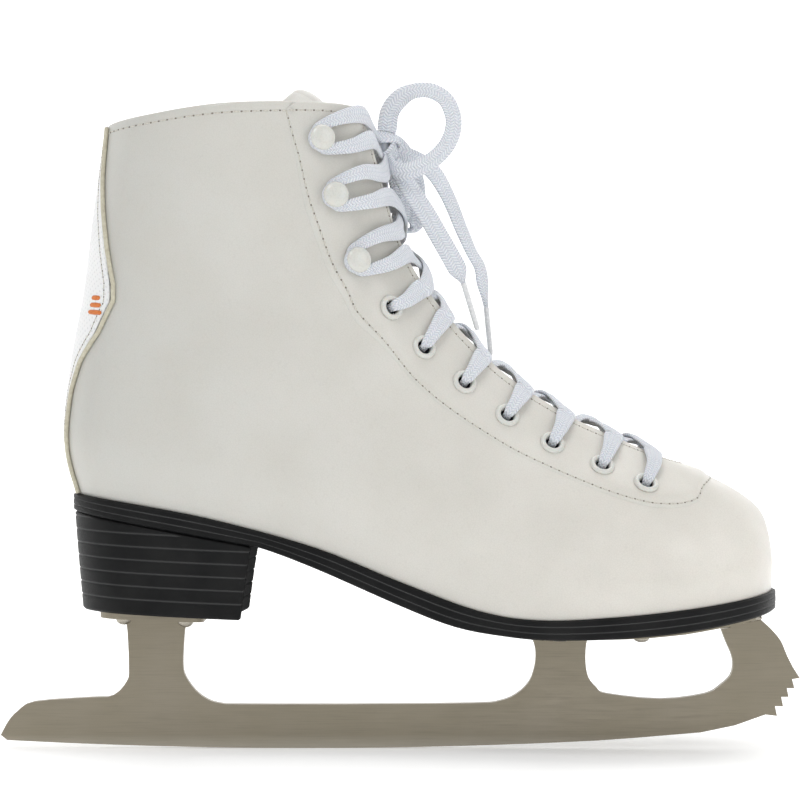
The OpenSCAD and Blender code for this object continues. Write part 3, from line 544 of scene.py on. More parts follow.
def dimpled(name):
    """The backstay's cool white leather, with rows of small dimples, each painted darker as painted shade."""
    f = Finish(name, {**SOFT_SKIN, "Coat Weight": 0.15})
    at = f.place()
    flat = f.stored("flat")
    x, y = (f.math("SINE", f.math("MULTIPLY", f.axis(flat, a), DIMPLE_TURN)) for a in "XY")
    dip = f.span(f.math("MULTIPLY", x, y), 0.55, 0.95)
    colour = f.mix(f.span(f.noise(at, 0.05, 4.0), 0.3, 0.7), rgb(236, 237, 238), rgb(242, 242, 242))
    # Painted shade: each dimple is darkened towards grey.
    colour = f.mix(f.math("MULTIPLY", dip, 0.35), colour, rgb(176, 178, 180))
    return f.finish(colour, f.rough(f.noise(at, 0.3), 0.3, 0.45),
                    [(f.math("SUBTRACT", 1.0, dip), 0.18, 0.6), (f.pores(at, 1.6), 0.04, 0.3)])


def steel(name, base, grain=(60, 2600, 2600), gloss=0.36):
    """Brushed steel with stains, specks and a bright edge low down, where it is ground."""
    f = Finish(name, {"Metallic": 1.0, "Anisotropic": 0.3})
    at = f.place()
    brushed = f.noise(f.place(grain), 1.0, 3.0, 0.55)
    stain = f.noise(at, 0.03, 4.0, 0.55)
    fine = f.noise(at, 2.5, 3.0, 0.6)
    colour = f.tint(base, stain, 0.35, 0.75, 0.55, rgb(150, 143, 130))
    colour = f.tint(colour, brushed, 0.5, 0.85, 0.22, rgb(110, 106, 98))
    colour = f.tint(colour, fine, 0.62, 0.75, 0.3, rgb(120, 115, 105))
    low = f.span(f.axis(at, "Z"), 0.6, 5.2, 1.0, 0.0)
    colour = f.mix(f.math("MULTIPLY", low, 0.35), colour, rgb(206, 201, 190))
    return f.finish(colour, f.rough(brushed, gloss - 0.06, gloss + 0.12),
                    [(brushed, 0.012, 0.3), (fine, 0.02, 0.25), (stain, 0.1, 0.08)])


def blackened(name, base, dust_and_highlight):
    """Black edge paint on stacked leather, with its grooves painted lighter: dust, and a painted highlight
    along their lips.
    """
    f = Finish(name, {"Specular IOR Level": 0.16})
    at = f.place()
    speck = f.noise(at, 1.6, 4.0, 0.7)
    colour = f.tint(base, f.noise(at, 0.06, 4.0), 0.4, 0.7, 0.5, rgb(34, 34, 34))
    colour = f.tint(colour, speck, 0.6, 0.75, 0.25, rgb(58, 57, 55))
    # Painted highlight and dust: the grooves' light grey, laid on through the stored groove mask.
    colour = f.mix(f.axis(f.stored("groove"), "X"), colour, dust_and_highlight)
    fibre = f.noise(f.place((120, 120, 900)), 1.0)
    return f.finish(colour, f.rough(speck, 0.34, 0.58), [(fibre, 0.06, 0.3), (speck, 0.05, 0.3)])


YARN = 0.8


def cloth(name, light, dark, flat=True):
    """A plain weave, over flat coordinates stored on the piece or over the place on the object."""
    f = Finish(name, {"Sheen Weight": 0.3, "Sheen Roughness": 0.5, "Specular IOR Level": 0.25})
    at = f.stored("flat") if flat else f.place()
    x, y = (f.wave(f.math("DIVIDE", f.axis(at, a), YARN)) for a in "XY")
    weave = f.math("MAXIMUM", f.math("MULTIPLY", x, f.math("SUBTRACT", 1.0, y)), f.math("MULTIPLY", y, x))
    fuzz = f.noise(f.place(), 0.9, 5.0, 0.7)
    # Painted shade: darker where the weave runs low, between the yarns.
    colour = f.mix(f.span(weave, 0.1, 0.9), dark, light)
    colour = f.tint(colour, f.noise(f.place(), 0.04, 4.0), 0.4, 0.7, 0.4, dark)
    return f.finish(colour, f.rough(fuzz, 0.75, 0.95), [(weave, 0.12, 0.6), (fuzz, 0.15, 0.3)])


BRAID_PITCH = 1.15


def braid(name, light, dark):
    """A flat braid: slanted yarns that meet in ridges along it, two on each side of the middle, with painted
    shade in the low places between them.
    """
    f = Finish(name, {"Sheen Weight": 0.25, "Sheen Roughness": 0.4, "Specular IOR Level": 0.3,
                      "Subsurface Weight": 0.05, "Subsurface Scale": 0.001})
    at = f.stored("braid")
    across = f.math("ABSOLUTE", f.axis(at, "Y"))
    ridge = f.math("ABSOLUTE", f.math("SUBTRACT", across, 0.5))
    lean = f.math("MULTIPLY_ADD", ridge, 1.7, f.math("DIVIDE", f.axis(at, "X"), BRAID_PITCH))
    yarn = f.math("POWER", f.wave(lean), 0.7)
    rib = f.span(ridge, 0.0, 0.12, 0.35, 1.0)
    middle = f.span(across, 0.0, 0.12, 0.3, 1.0)
    height = f.math("MULTIPLY", f.math("MULTIPLY", yarn, rib), middle)
    fuzz = f.noise(f.place(), 2.2, 4.0, 0.7)
    # Painted shade: the dark, bluish colour where the braid runs low.
    colour = f.mix(f.span(height, 0.0, 0.7), dark, light)
    colour = f.tint(colour, fuzz, 0.55, 0.8, 0.25, dark)
    return f.finish(colour, f.rough(fuzz, 0.6, 0.82), [(height, 0.3, 0.9), (fuzz, 0.06, 0.3)])


def enamel(name, base):
    """White lacquer with thin places and small chips."""
    f = Finish(name, {"Coat Weight": 0.6, "Coat Roughness": 0.12, "Subsurface Weight": 0.08,
                      "Subsurface Scale": 0.001})
    at = f.place()
    cloudy = f.noise(at, 0.5)
    chip = f.noise(at, 1.3, 4.0, 0.7)
    colour = f.tint(base, cloudy, 0.35, 0.7, 0.5, rgb(214, 212, 202))
    colour = f.tint(colour, chip, 0.7, 0.76, 0.5, rgb(168, 164, 152))
    return f.finish(colour, f.rough(chip, 0.2, 0.38), [(cloudy, 0.06, 0.25)])


def thread(name, base, low):
    """Twisted yarn, with painted shade in the grooves of its twist."""
    f = Finish(name, {"Sheen Weight": 0.2, "Specular IOR Level": 0.3})
    twist = f.wave(f.math("DIVIDE", f.axis(f.place((1000, 600, 1400)), "X"), 0.5))
    fuzz = f.noise(f.place(), 3.0)
    colour = f.mix(f.span(f.math("ADD", twist, fuzz), 0.4, 1.4), low, base)
    return f.finish(colour, f.rough(fuzz, 0.55, 0.8), [(twist, 0.08, 0.5)])


def plain(name, a, b, rough=(0.4, 0.6), scale=0.4, depth=0.05, fixed=None):
    """Two tones in a fine mottle, for moulded plastic, foam, board and the like."""
    f = Finish(name, fixed or {})
    at = f.place()
    mottle = f.noise(at, scale, 5.0, 0.6)
    fine = f.noise(at, scale * 8)
    colour = f.mix(f.span(mottle, 0.35, 0.7), a, b)
    return f.finish(colour, f.rough(fine, *rough), [(fine, depth, 0.4), (mottle, depth, 0.3)])


UPPER = leather("upper_leather", rgb(199, 199, 194), rgb(231, 227, 219))
STRIP = dimpled("backstay_leather")
CORDED = plain("piping_cream", rgb(206, 202, 182), rgb(184, 178, 156), (0.45, 0.62), 0.7, 0.06,
               {"Sheen Weight": 0.15})
CREAM = rgb(226, 220, 202), rgb(188, 180, 156)
LINING = cloth("lining_fabric", *CREAM)
LINING_PLACED = cloth("lining_fabric_bed", *CREAM, flat=False)
# The second colour is mainly the painted shade between the yarns.
BRAID = braid("lace_white", rgb(232, 235, 240), rgb(204, 209, 219))
ENAMEL = enamel("white_enamel", rgb(210, 211, 206))
STEEL = steel("blade_steel", rgb(141, 134, 118))
RIVET = steel("rivet_steel", rgb(176, 171, 160), grain=(300, 300, 300), gloss=0.26)
# The second colour is the light grey of the grooves: dust and painted highlight.
BLACK = blackened("sole_black", rgb(13, 14, 15), rgb(92, 93, 93))
MATT = plain("breast_black", rgb(20, 20, 21), rgb(12, 12, 13), (0.85, 0.95), 0.6, 0.1,
             {"Specular IOR Level": 0.05})
THREAD = thread("thread_white", rgb(226, 223, 214), rgb(168, 164, 152))
# Painted shade: the needle holes are drawn as small dark dents.
NEEDLE = plain("needle_hole", rgb(140, 131, 120), rgb(106, 99, 90), scale=2.0)
# Painted shade: the dark floor and lower wall of each eyelet's bore.
BORE_SHADE = plain("eyelet_bore_shade", rgb(52, 58, 70), rgb(34, 38, 48), (0.6, 0.8), 1.0)
AGLET = plain("aglet_plastic", rgb(238, 239, 240), rgb(214, 216, 218), (0.18, 0.3), 1.2, 0.03,
              {"Coat Weight": 0.4, "Transmission Weight": 0.15})
BOARD = plain("fibre_board", rgb(196, 170, 124), rgb(168, 142, 100), (0.7, 0.9), 1.0)
FOAM = plain("foam", rgb(232, 224, 176), rgb(214, 204, 150), (0.8, 0.95), 0.8, 0.2)
SHANK = steel("shank_steel", rgb(150, 150, 152))
ORANGE = plain("mark_orange", rgb(224, 128, 56), rgb(206, 108, 40), (0.4, 0.55), 0.8)

# ---- Free ends of the lace ----

LACE_W = 7.4
LACE_T = 1.9
FLAT = (LACE_W, LACE_T)


def powered(x, power):
    return np.sign(x) * np.abs(x) ** power


def ribbon_section():
    """A flat bar with rounded edges and a shallow hollow on each side of its middle."""
    c, s = circle(16).T
    return np.stack([powered(c, 0.75), powered(s, 0.8) * (0.82 + 0.18 * np.cos(np.pi * c) ** 2)], axis=1)


RIBBON = ribbon_section()
# Each stop is a point and the direction that the braid's face looks in
LOOP_UPPER = [
    [-5, -3, 234, 0, -1, 0.5], [-3.8, -5, 241, 0, -1, 0.3], [0, -6, 246, 0.2, -1, 0.4],
    [5, -6.5, 248.6, 0, -1, 0.7], [11.4, -7, 248.8, 0.1, -1, 0.7], [17, -7.5, 245.6, 0.5, -1, 0.5],
    [19.8, -8, 240, 0.7, -1, 0], [20.1, -8, 234.5, 0.7, -1, 0], [18.2, -8, 229, 0.6, -1, -0.4],
    [14.4, -9, 224.2, 0.4, -1, -0.6], [9.1, -10.5, 220.4, 0.2, -1, -0.7], [3, -11.5, 218, 0, -1, -0.7],
    [-1.9, -10.5, 218.5, -0.2, -1, -0.6], [-5, -6, 222, -0.4, -1, -0.4]]
LOOP_LOWER = [
    [-4, 4, 231, 0.4, -1, 0.2], [0, 9, 229, 0.5, -1, 0.3], [4, 13, 223, 0.6, -1, 0.2],
    [6, 16, 216, 0.4, -1, 0], [6.5, 18, 208, 0.3, -1, 0], [6, 18.5, 201, 0.3, -1, -0.4],
    [3.5, 17.5, 197.5, 0.2, 0, -1], [0.8, 15.5, 200, -0.3, 1, -0.4], [0.2, 12.5, 206, -0.3, 1, 0],
    [0, 9, 212, -0.3, 1, 0], [-1.5, 5.5, 218, -0.3, 1, 0.3], [-4, 3, 222, -0.4, 1, 0.3]]
TAIL_OUTER = [
    [-4, -1.5, 223, 0.6, -1, 0], [-1, -3, 219.5, 0.5, -1, 0], [3, -5, 213, 0.4, -1, 0],
    [9.5, -7.5, 203, 0.3, -1, 0], [14, -9, 195, 0.2, -1, 0], [18.5, -10.5, 187, 0.2, -1, 0],
    [22, -10.5, 180.5, 0.2, -1, 0], [24, -10.5, 175.6, 0.1, -1, 0]]
TAIL_INNER = [
    [-3, 1.5, 226, 0.2, -1, 0.3], [3, 3.5, 225, 0.2, -1, 0.4], [11.8, 5, 220, 0.4, -1, 0.4],
    [18, 6.5, 210.5, 0.7, -0.8, 0.3], [23.6, 8, 197.2, 0.8, -0.7, 0.3],
    [27.5, 9, 188.5, 0.8, -0.6, 0.4], [30.6, 9.5, 183, 0.8, -0.6, 0.3],
    [31.8, 9.5, 176, 0.8, -0.6, 0.1], [33.1, 9.5, 167, 0.8, -0.6, 0.1]]
AGLET_OUTER = [[24, -10.5, 175.6], [29.3, -9.5, 158.2]]
AGLET_INNER = [[33.1, 9.5, 167], [34.8, 9.5, 149]]
KNOT = np.array([-6.5, 0, 228])


def add_aglet(name, ends):
    """The plastic tip: a crimped sleeve that the lace is gathered into."""
    a, b = (np.array(e, float) for e in ends)
    length = size_of(b - a)
    profile = [(0, -0.4), (0.9, -0.4), (1.08, 0), (1.12, 0.8), (1.0, 1.4), (1.06, 2.4), (1.04, length * 0.5),
               (1.0, length - 1.2), (0.82, length - 0.4), (0.45, length - 0.05), (0, length)]
    return add_mesh(name, lathe(profile, a, b - a, 20), AGLET, [name.replace("_tip", "")])


def add_free_lace(name, stops, tip=None):
    """A braid along the stops, gathered to a round cord where it runs into its tip."""
    stops = np.array(stops, float)
    points = smooth(stops[:, :3], 8)
    face = unit(smooth(unit(stops[:, 3:]), 8))
    sizes = np.tile(FLAT, (len(points), 1)).astype(float)
    if tip is not None:
        full = ramp(np.arange(len(points))[::-1], 0, 10)[:, None]
        sizes = sizes * full + LACE_T * (1 - full)
    shape = sweep(points, sizes, face, RIBBON)
    piece = add_mesh(name, shape, BRAID, [name.replace("_braid", "")], braid=shape[2])


add_free_lace("lace_loop_upper_braid", LOOP_UPPER)
add_free_lace("lace_loop_lower_braid", LOOP_LOWER)
add_free_lace("lace_tail_outer_braid", TAIL_OUTER,
              add_aglet("aglet_outer_tip", AGLET_OUTER))
add_free_lace("lace_tail_inner_braid", TAIL_INNER,
              add_aglet("aglet_inner_tip", AGLET_INNER))

# ---- Upper, facing, lining and backstay ----

# Places (u, v) on the boot's surface
EYELETS = [[5.42, 3.73], [4.81, 4.1], [4.28, 4.2], [3.78, 4.14], [3.32, 3.93], [2.79, 3.7], [2.33, 3.34]]
HOOKS = [[7.25, 4.62], [7, 4.05], [6.25, 3.48]]
HOLES = [(boot(s * e[0], e[1]), normal(s * e[0], e[1])) for e in EYELETS for s in (1, -1)]
SEAM = [[0, 4.05], [1.28, 3.26], [1.75, 2.8], [2.34, 2.7], [2.9, 2.95], [3.6, 3.37], [4.2, 3.5], [5.04, 3.36],
        [5.9, 3], [6.4, 3.13], [6.9, 3.4], [7.27, 3.9], [7.45, 4.5], [7.55, 4.93]]
SEAM_EDGE = [0, 0.7, 1.1, 1.6, 2.4, 3.2, 4, 4.7, 5.2, 5.6, 6, 6.4, 7, 7.5]
# (v, half width in columns)
BACKSTAY_HALF = np.array([[0, 0.28], [0.4, 0.26], [1.2, 0.35], [1.7, 0.43], [2.1, 0.6], [2.5, 0.88],
                          [2.9, 1.02], [3.1, 0.97], [3.5, 0.76], [4, 0.53], [4.4, 0.38], [5, 0.25]])


def add_upper():
    us, vs = patch(np.linspace(0, TURN, TURN * 22, endpoint=False), np.linspace(0, EDGE, 110))
    shape = layer(us, vs, np.zeros_like(us), np.full_like(us, UPPER_T), ring=True, holes=HOLES)
    add_mesh("upper_leather_shell", shape, UPPER, ["upper"])


LINING_LOW = 0.12       # v of its lower edge
LINING_PAST = 0.05      # share of its rows that rise past the top edge
LINING_OVER = 2.0       # how far they rise at the throat, in millimetres


def add_lining():
    us, rows = patch(np.linspace(0, TURN, TURN * 12, endpoint=False), np.linspace(0, 1 + LINING_PAST, 64))
    over = 0.1 + LINING_OVER * (1 - ramp(fold(us), 6.0, 6.8))
    vs = np.where(rows <= 1, LINING_LOW + (EDGE - LINING_LOW) * rows, EDGE + over * (rows - 1) / LINING_PAST)
    deep = lining_depth(us, np.minimum(vs, EDGE))
    shape = layer(us, vs, -deep, deep + LINING_T, ring=True, holes=HOLES)
    piece = add_mesh("lining_quilt", shape, LINING, ["lining"], flat=shape[2])


def both_sides(curve):
    """A curve on the outer side, from the toe, joined to its mirror image on the inner side."""
    curve = np.asarray(curve, float)
    return np.concatenate([curve[::-1] * [-1, 1], curve[1:]])


def facing_high(away):
    """The facing is skived: it thins out towards its seam."""
    return 0.06 + (FACING_T - 0.06) * ramp(away, 0.0, 5.0)


def facing_strip(steps, across):
    """Places from the facing's seam (0) to the top edge (1), and their distance from the seam."""
    seam = both_sides(smooth(SEAM, steps))
    edge = both_sides(smooth([[u, EDGE] for u in SEAM_EDGE], steps))
    us, vs = (seam[:, k:k + 1] + (edge - seam)[:, k:k + 1] * across for k in (0, 1))
    return us, vs, size_of(boot(us, vs) - boot(seam[:, :1], seam[:, 1:]))


def add_facing():
    us, vs, away = facing_strip(14, np.linspace(0, 1, 26))
    high = facing_high(away)
    shape = layer(us, vs, high, -np.minimum(0.05, high - 0.03), rim=4, holes=HOLES)
    add_mesh("facing_leather", shape, UPPER, ["facing"])


def backstay_half(v):
    return np.interp(v, BACKSTAY_HALF[:, 0], BACKSTAY_HALF[:, 1])


def add_backstay():
    v = np.linspace(0, EDGE, 150)
    us = HEEL + np.linspace(-1, 1, 41)[:, None] * (backstay_half(v) - 0.03)[None, :]
    vs = np.broadcast_to(v[None, :], us.shape)
    shape = layer(us, vs, np.full(us.shape, BACKSTAY_T), np.full(us.shape, -0.1))
    add_mesh("backstay_leather", shape, STRIP, ["backstay"], flat=shape[2])


PIPING_R = 0.85


def add_piping(name, side):
    v = np.linspace(0.02, EDGE - 0.02, 220)
    u = HEEL - side * (backstay_half(v) + 0.03)
    route = skin(u, v, np.full_like(v, PIPING_R + 0.05))
    section = circle(12)
    section[:, 1] = np.where(section[:, 1] < 0, section[:, 1], section[:, 1] * 1.05)
    shape = sweep(route, np.full((len(v), 2), 2 * PIPING_R), normal(u, v), section)
    add_mesh(name + "_cord", shape, CORDED, [name])


add_upper()
add_lining()
add_facing()
add_backstay()
add_piping("piping_outer", 1)
add_piping("piping_inner", -1)

# ---- Stitches ----


def add_threads(name, threads, holes, body="boot"):
    for parts, kind, look in ((threads, "thread", THREAD), (holes, "holes", NEEDLE)):
        add_mesh(f"{name}_{kind}", join_grids(parts), look, body=body, slot="upper_leather")


def add_stitches(name, u, v, out, pitch=3.3):
    """A row of stitches along a curve of the boot, with the needle hole at each end drawn as a small dark
    dent of painted shade.
    """
    place, ahead, at = resample(skin(u, v, np.broadcast_to(out, u.shape)), pitch)
    up = normal(np.interp(at, np.arange(len(u)), u), np.interp(at, np.arange(len(v)), v))
    threads, holes = [], []
    for p, d, n in zip(place, ahead, up):
        threads.append(capsule(p - 0.02 * n, d, n, 0.6 * pitch, 0.3, 0.7))
        holes.append(capsule(p - d * pitch / 2 - 0.04 * n, d, n, 0.75, 0.32, 0.5))
    add_threads(name, threads, holes)


THROAT_END = 7.54
COLLAR_START = 7.52


def stitch_rows():
    us, vs, away = facing_strip(12, 0.045)
    add_stitches("seam_stitches", us[:, 0], vs[:, 0], facing_high(away[:, 0]) + 0.03)
    u = np.linspace(-THROAT_END, THROAT_END, 420)
    below = 3.5 - 0.8 * ramp(np.abs(u), 6.5, 7.1)
    add_stitches("throat_stitches", u, inset(u, below), FACING_T + 0.04, 3.4)
    u = np.linspace(COLLAR_START, TURN - COLLAR_START, 300)
    add_stitches("collar_stitches", u, inset(u, 2.7), 0.04, 3.6)
    v = np.linspace(0.06, EDGE - 0.12, 300)
    for side, tag in ((1, "outer"), (-1, "inner")):
        add_stitches(f"backstay_stitches_{tag}", HEEL - side * (backstay_half(v) - 0.13), v,
                     BACKSTAY_T + 0.03, 2.6)


stitch_rows()

# ---- Eyelets and hooks ----

FITTING_R = 4.75
FITTING_OUT = FACING_T + 0.1
BORE_R = 2.65
BARREL_R = 3.15


def eyelet_profile():
    """A rolled rim round a bore with a floor, painted dark as painted shade, and a barrel through the
    leather.
    """
    rim = (FITTING_R - BORE_R) / 2
    a = np.linspace(math.pi * 1.25, 0, 16)[2:]
    roll = [(BORE_R + rim + rim * math.cos(t), 1.25 * math.sin(t)) for t in a]
    return ([(0, -2.6), (BORE_R, -2.6), (BORE_R, -2.0), (BORE_R, -1.0), (BORE_R + 0.02, -0.4)] + roll
            + [(FITTING_R - 0.1, -0.12), (BARREL_R, -0.12), (BARREL_R, -4.8 - FITTING_OUT)])


def hook_profile():
    """A foot, a waist that the lace turns round, and a domed head."""
    dome = [(FITTING_R * math.cos(t) ** 0.8, 4.35 + 1.75 * math.sin(t))
            for t in np.linspace(0, math.pi / 2, 12)]
    return [(0, -2), (1.6, -2), (1.6, 0), (4.2, 0), (4.35, 0.2), (4.3, 0.55), (3.9, 0.82), (2.6, 0.95),
            (2.1, 1.3), (2.0, 2.2), (2.05, 3.2), (2.5, 3.75), (4.2, 3.95), (4.65, 4.1)] + dome


def add_fittings(name, places, side, profile, hollow=0):
    """Fittings in one piece. The first bands of the profile, up to hollow, are painted dark inside: painted
    shade in the bore.
    """
    spots = [(side * u, v) for u, v in places]
    shape = join_grids([lathe(profile, skin(*s, FITTING_OUT), normal(*s), 40) for s in spots])
    piece = add_mesh(f"{name}_set", shape, ENAMEL, [name])
    add_second(piece, BORE_SHADE, (k % (len(profile) - 1) < hollow for k in range(len(shape[1]))))


for tag, side in (("outer", 1), ("inner", -1)):
    add_fittings(f"eyelets_{tag}", EYELETS, side, eyelet_profile(), hollow=3)
    add_fittings(f"hooks_{tag}", HOOKS, side, hook_profile())

# ---- Lace ----

# u at the top edge where the lace crosses it
EYELET_EDGE = [4.73, 4.45, 3.98, 3.43, 2.87, 2.2, 1.45]
HOOK_EDGE = [6, 5.52, 5.12]
UNDER = -4.8     # how far out the lace lies where it runs below the facing
# Width and thickness: folded in an eyelet, turning tightly, and gathered beside them
FOLD = (3.3, 2.2)
TIGHT = (4.4, 2.2)
GATHERED = (0.78 * LACE_W, 1.2 * LACE_T)
BESIDE_HOOK = (0.76 * LACE_W, 1.15 * LACE_T)


def throat_up(u):
    """Square to the throat's edge and to Y, out of the boot."""
    t = boot(u + 0.1, EDGE) - boot(u - 0.1, EDGE)
    return unit([t[2], 0, -t[0]])


def stop_on(s, at, out, size):
    """A stop over a place on one side of the boot: its point, face direction and size."""
    return [skin(s * at[0], at[1], out), normal(s * at[0], at[1]), size]


def between(a, b, t):
    return np.asarray(a, float) + (np.asarray(b, float) - np.asarray(a, float)) * t


def leaving(s, e):
    """Up through an eyelet and over the edge of the facing."""
    a, edge = EYELETS[e], [EYELET_EDGE[e], EDGE]
    up = throat_up(edge[0])
    face = unit(normal(s * a[0], a[1]) - 0.6 * up)
    low = stop_on(s, between(a, edge, 0.03), -2.4, FOLD)
    root = stop_on(s, between(a, edge, 0.03), FACING_T - 0.4, FOLD)
    mouth = stop_on(s, between(a, edge, 0.1), FACING_T + 1.5, TIGHT)
    over = stop_on(s, edge, FACING_T + 1.3, FLAT)
    low[1], root[1], mouth[1], over[1] = up, unit(face + up), face, unit(over[1] + up)
    return [low, root, mouth, stop_on(s, between(a, edge, 0.4), FACING_T + 2.5, GATHERED),
            stop_on(s, between(a, edge, 0.8), FACING_T + 1.4, FLAT), over]


def strand(s, e, lift):
    """From an eyelet across the throat and under the facing to the next eyelet of the other side."""
    out = leaving(s, e)
    b, edge = EYELETS[e - 1], [EYELET_EDGE[e - 1], EDGE]
    start, to = out[-1][0], boot(-s * edge[0], EDGE)
    up = throat_up((EYELET_EDGE[e] + edge[0]) / 2)
    return out + [[between(start, to, 0.22) + 1.6 * up, up, FLAT],
                  [between(start, to, 0.5) + (2 + lift) * up, up, FLAT],
                  [between(start, to, 0.75) + 0.3 * up, unit(up + [0, -0.5 * s, 0]), FLAT],
                  [between(start, to, 0.95) - 4.6 * up, normal(-s * edge[0], EDGE), FLAT],
                  stop_on(-s, between(b, edge, 0.5), UNDER, GATHERED), stop_on(-s, b, UNDER, FOLD)]


TURN_R = 3.9
TURN_APART = 5.6
EDGE_APART = 4.6


def hook_turn(s, h):
    """Round the waist of a hook, from the edge of the facing and back to it."""
    p, n, _ = stop_on(s, HOOKS[h], FACING_T + 2.6, TIGHT)
    edge = skin(s * HOOK_EDGE[h], EDGE, FACING_T + 1.4)
    e = unit((edge - p) - ((edge - p) @ n) * n)
    up = np.cross(n, e)
    up = up if up[2] > 0 else -up
    half = 0.5 * size_of(edge - p) * e
    side = unit(n + throat_up(HOOK_EDGE[h]))
    turns = [[p - TURN_R * math.cos(a) * e + TURN_R * math.sin(a) * up, e * math.cos(a) - up * math.sin(a),
              TIGHT] for a in np.radians([-60, -20, 20, 60])]

    def arm(away):
        return [[edge + EDGE_APART * away, side, FLAT], [p + half + TURN_APART * away, n, BESIDE_HOOK],
                [p + 1.4 * e + (TURN_R + 0.7) * away, unit(n + 0.8 * away), TIGHT]]

    return arm(-up) + turns + arm(up)[::-1]


def bridge(a, b, u, lift):
    """In an arch over the throat."""
    up = throat_up(u)
    return [[between(a[0], b[0], t) + (3 * math.sin(math.pi * t) + lift) * up, up, FLAT]
            for t in (0.25, 0.5, 0.75)]


def chain(c):
    """One half of the lace, from the lowest eyelet of one side (c is 1 or -1) to the knot."""
    stops, lift = [], 0.8 * c
    for k in range(6):
        stops += strand(c if k % 2 == 0 else -c, 6 - k, lift)
    stops += leaving(c, 0)
    for hook, side, u in ((2, -c, 4.9), (1, c, 5.3), (0, -c, 5.8)):
        turn = hook_turn(side, hook)
        stops += bridge(stops[-1], turn[0], u, lift) + turn
    return stops + [[KNOT + [-2, c * 3, 3], [0.8, 0, 0.6], GATHERED]]


def bar():
    """The straight run between the two lowest eyelets, under the facing on both sides."""
    b, edge = EYELETS[6], [EYELET_EDGE[6], EDGE]
    half, up = between(b, edge, 0.5), throat_up(EYELET_EDGE[6])
    left, right = boot(-edge[0], EDGE), boot(edge[0], EDGE)
    return [stop_on(-1, between(b, edge, 0.25), UNDER, FOLD), stop_on(-1, half, UNDER, GATHERED),
            [left - 4 * up, up, FLAT], [between(left, right, 0.5) + up, up, FLAT], [right - 4 * up, up, FLAT],
            stop_on(1, half, UNDER, GATHERED), stop_on(1, b, UNDER, FOLD)]


def ribbon(stops, steps=6):
    """A braid through stops of [point, face direction, size], with its faces kept from flipping."""
    points = np.array([s[0] for s in stops])
    face = unit([s[1] for s in stops])
    across = unflipped(unit(np.cross(tangents(points), face)))
    fine = smooth(points, steps)
    width = unit(smooth(across, steps))
    size = np.clip(smooth([s[2] for s in stops], steps), 1.2, 9)
    return sweep(fine, size, unit(np.cross(width, tangents(fine))), RIBBON)


def add_lace():
    first, second = ribbon(bar() + chain(1)), ribbon(chain(-1))
    add_mesh("lace_braid", join_grids([first[:2], second[:2]]), BRAID, ["lace"],
             braid=np.concatenate([first[2], second[2]]))


KNOT_TURNS = ((0.5, (5.0, 6.6, 7.2), (6.6, 1.7)), (-0.7, (5.6, 6.0, 8.2), (6.2, 1.7)),
              (1.5, (3.9, 5.4, 5.2), (7.0, 1.8)))      # (tilt, radii, size)
KNOT_CORE = [(0, -7.5), (2.8, -6), (4.2, -2.5), (4.4, 1.5), (3.2, 5.5), (0, 7.5)]


def add_knot():
    """Turns of braid pulled tight over a gathered core."""
    parts, a = [], around(40)
    for tilt, radii, size in KNOT_TURNS:
        ring = np.stack([radii[0] * np.cos(a), radii[1] * np.sin(a) * math.cos(tilt),
                         radii[2] * np.sin(a) * math.sin(tilt) + 1.6 * np.cos(2 * a)], axis=1)
        parts.append(sweep(KNOT + ring, np.tile(size, (40, 1)), unit(ring), RIBBON, close=True))
    core = lathe(KNOT_CORE, KNOT, [0.1, 0.1, 1], 24)
    along_braid = np.concatenate([p[2] for p in parts] + [core[0] * [0.6, 0.1, 0.1]])
    add_mesh("lace_knot_braid", join_grids([p[:2] for p in parts] + [core]), BRAID, ["lace_knot"],
             braid=along_braid)


add_lace()
add_knot()

# ---- Tongue ----

TONGUE = [[97, 0, 103], [88, 0, 109.5], [74.5, 0, 117], [59, 0, 126.3], [44.5, 0, 136.3], [29.5, 0, 148.8],
          [16.3, 0, 161.5], [7.5, 0, 173.8], [1, 0, 188], [-6.5, 0, 205.3], [-12, 0, 221], [-20, 0, 236],
          [-36.8, 0, 252.6]]
TONGUE_HALF = [12, 15, 16.5, 18, 19, 19.5, 20, 20.5, 21, 21.6, 21.4, 21.4, 20]
TONGUE_CROWN = [3, 12, 16, 19, 20, 20, 20, 19, 17, 15, 14, 13, 12]
TONGUE_PAD = [2, 2.5, 3, 4, 5, 6, 6, 6, 6, 6, 6.5, 7, 7]
TONGUE_SKIN = 1.3
TONGUE_LAST = len(TONGUE) - 1
END_ROUND = 0.38      # share of the last stretch over which the padded end closes
CORNER_ROUND = 1.1    # share over which the corners of the end are drawn in
CHANNELS = (0.45, 0.94)


def closing(k, length):
    """1 along the tongue and 0 at its end, on a quarter round over this length before the end."""
    share = np.clip((k - (TONGUE_LAST - length)) / length, 0, 1)
    return np.sqrt(np.maximum(0, 1 - share * share))


def tongue_thick(k):
    return 2 * TONGUE_SKIN + along(TONGUE_PAD, k)


def tongue_point(k, w, depth):
    """Point at depth below the face of the tongue, k along it and w across it from -1 to 1."""
    k, w, depth = paired(k, w, depth)
    middle = 0.5 * tongue_thick(k)
    depth = middle + (depth - middle) * closing(k, END_ROUND)
    m = along(TONGUE, k)
    t = unit(along(TONGUE, np.minimum(TONGUE_LAST, k + 0.05)) - along(TONGUE, np.maximum(0, k - 0.05)))
    inward = np.stack([-t[..., 2], 0 * t[..., 0], t[..., 0]], axis=-1)
    half = along(TONGUE_HALF, k) * (0.62 + 0.38 * closing(k, CORNER_ROUND))
    y = swing(m[..., 0], m[..., 2]) + w * (half - 0.3 * depth)
    base = np.stack([m[..., 0], y, m[..., 2]], axis=-1)
    return base + (along(TONGUE_CROWN, k) * w * w + depth)[..., None] * inward


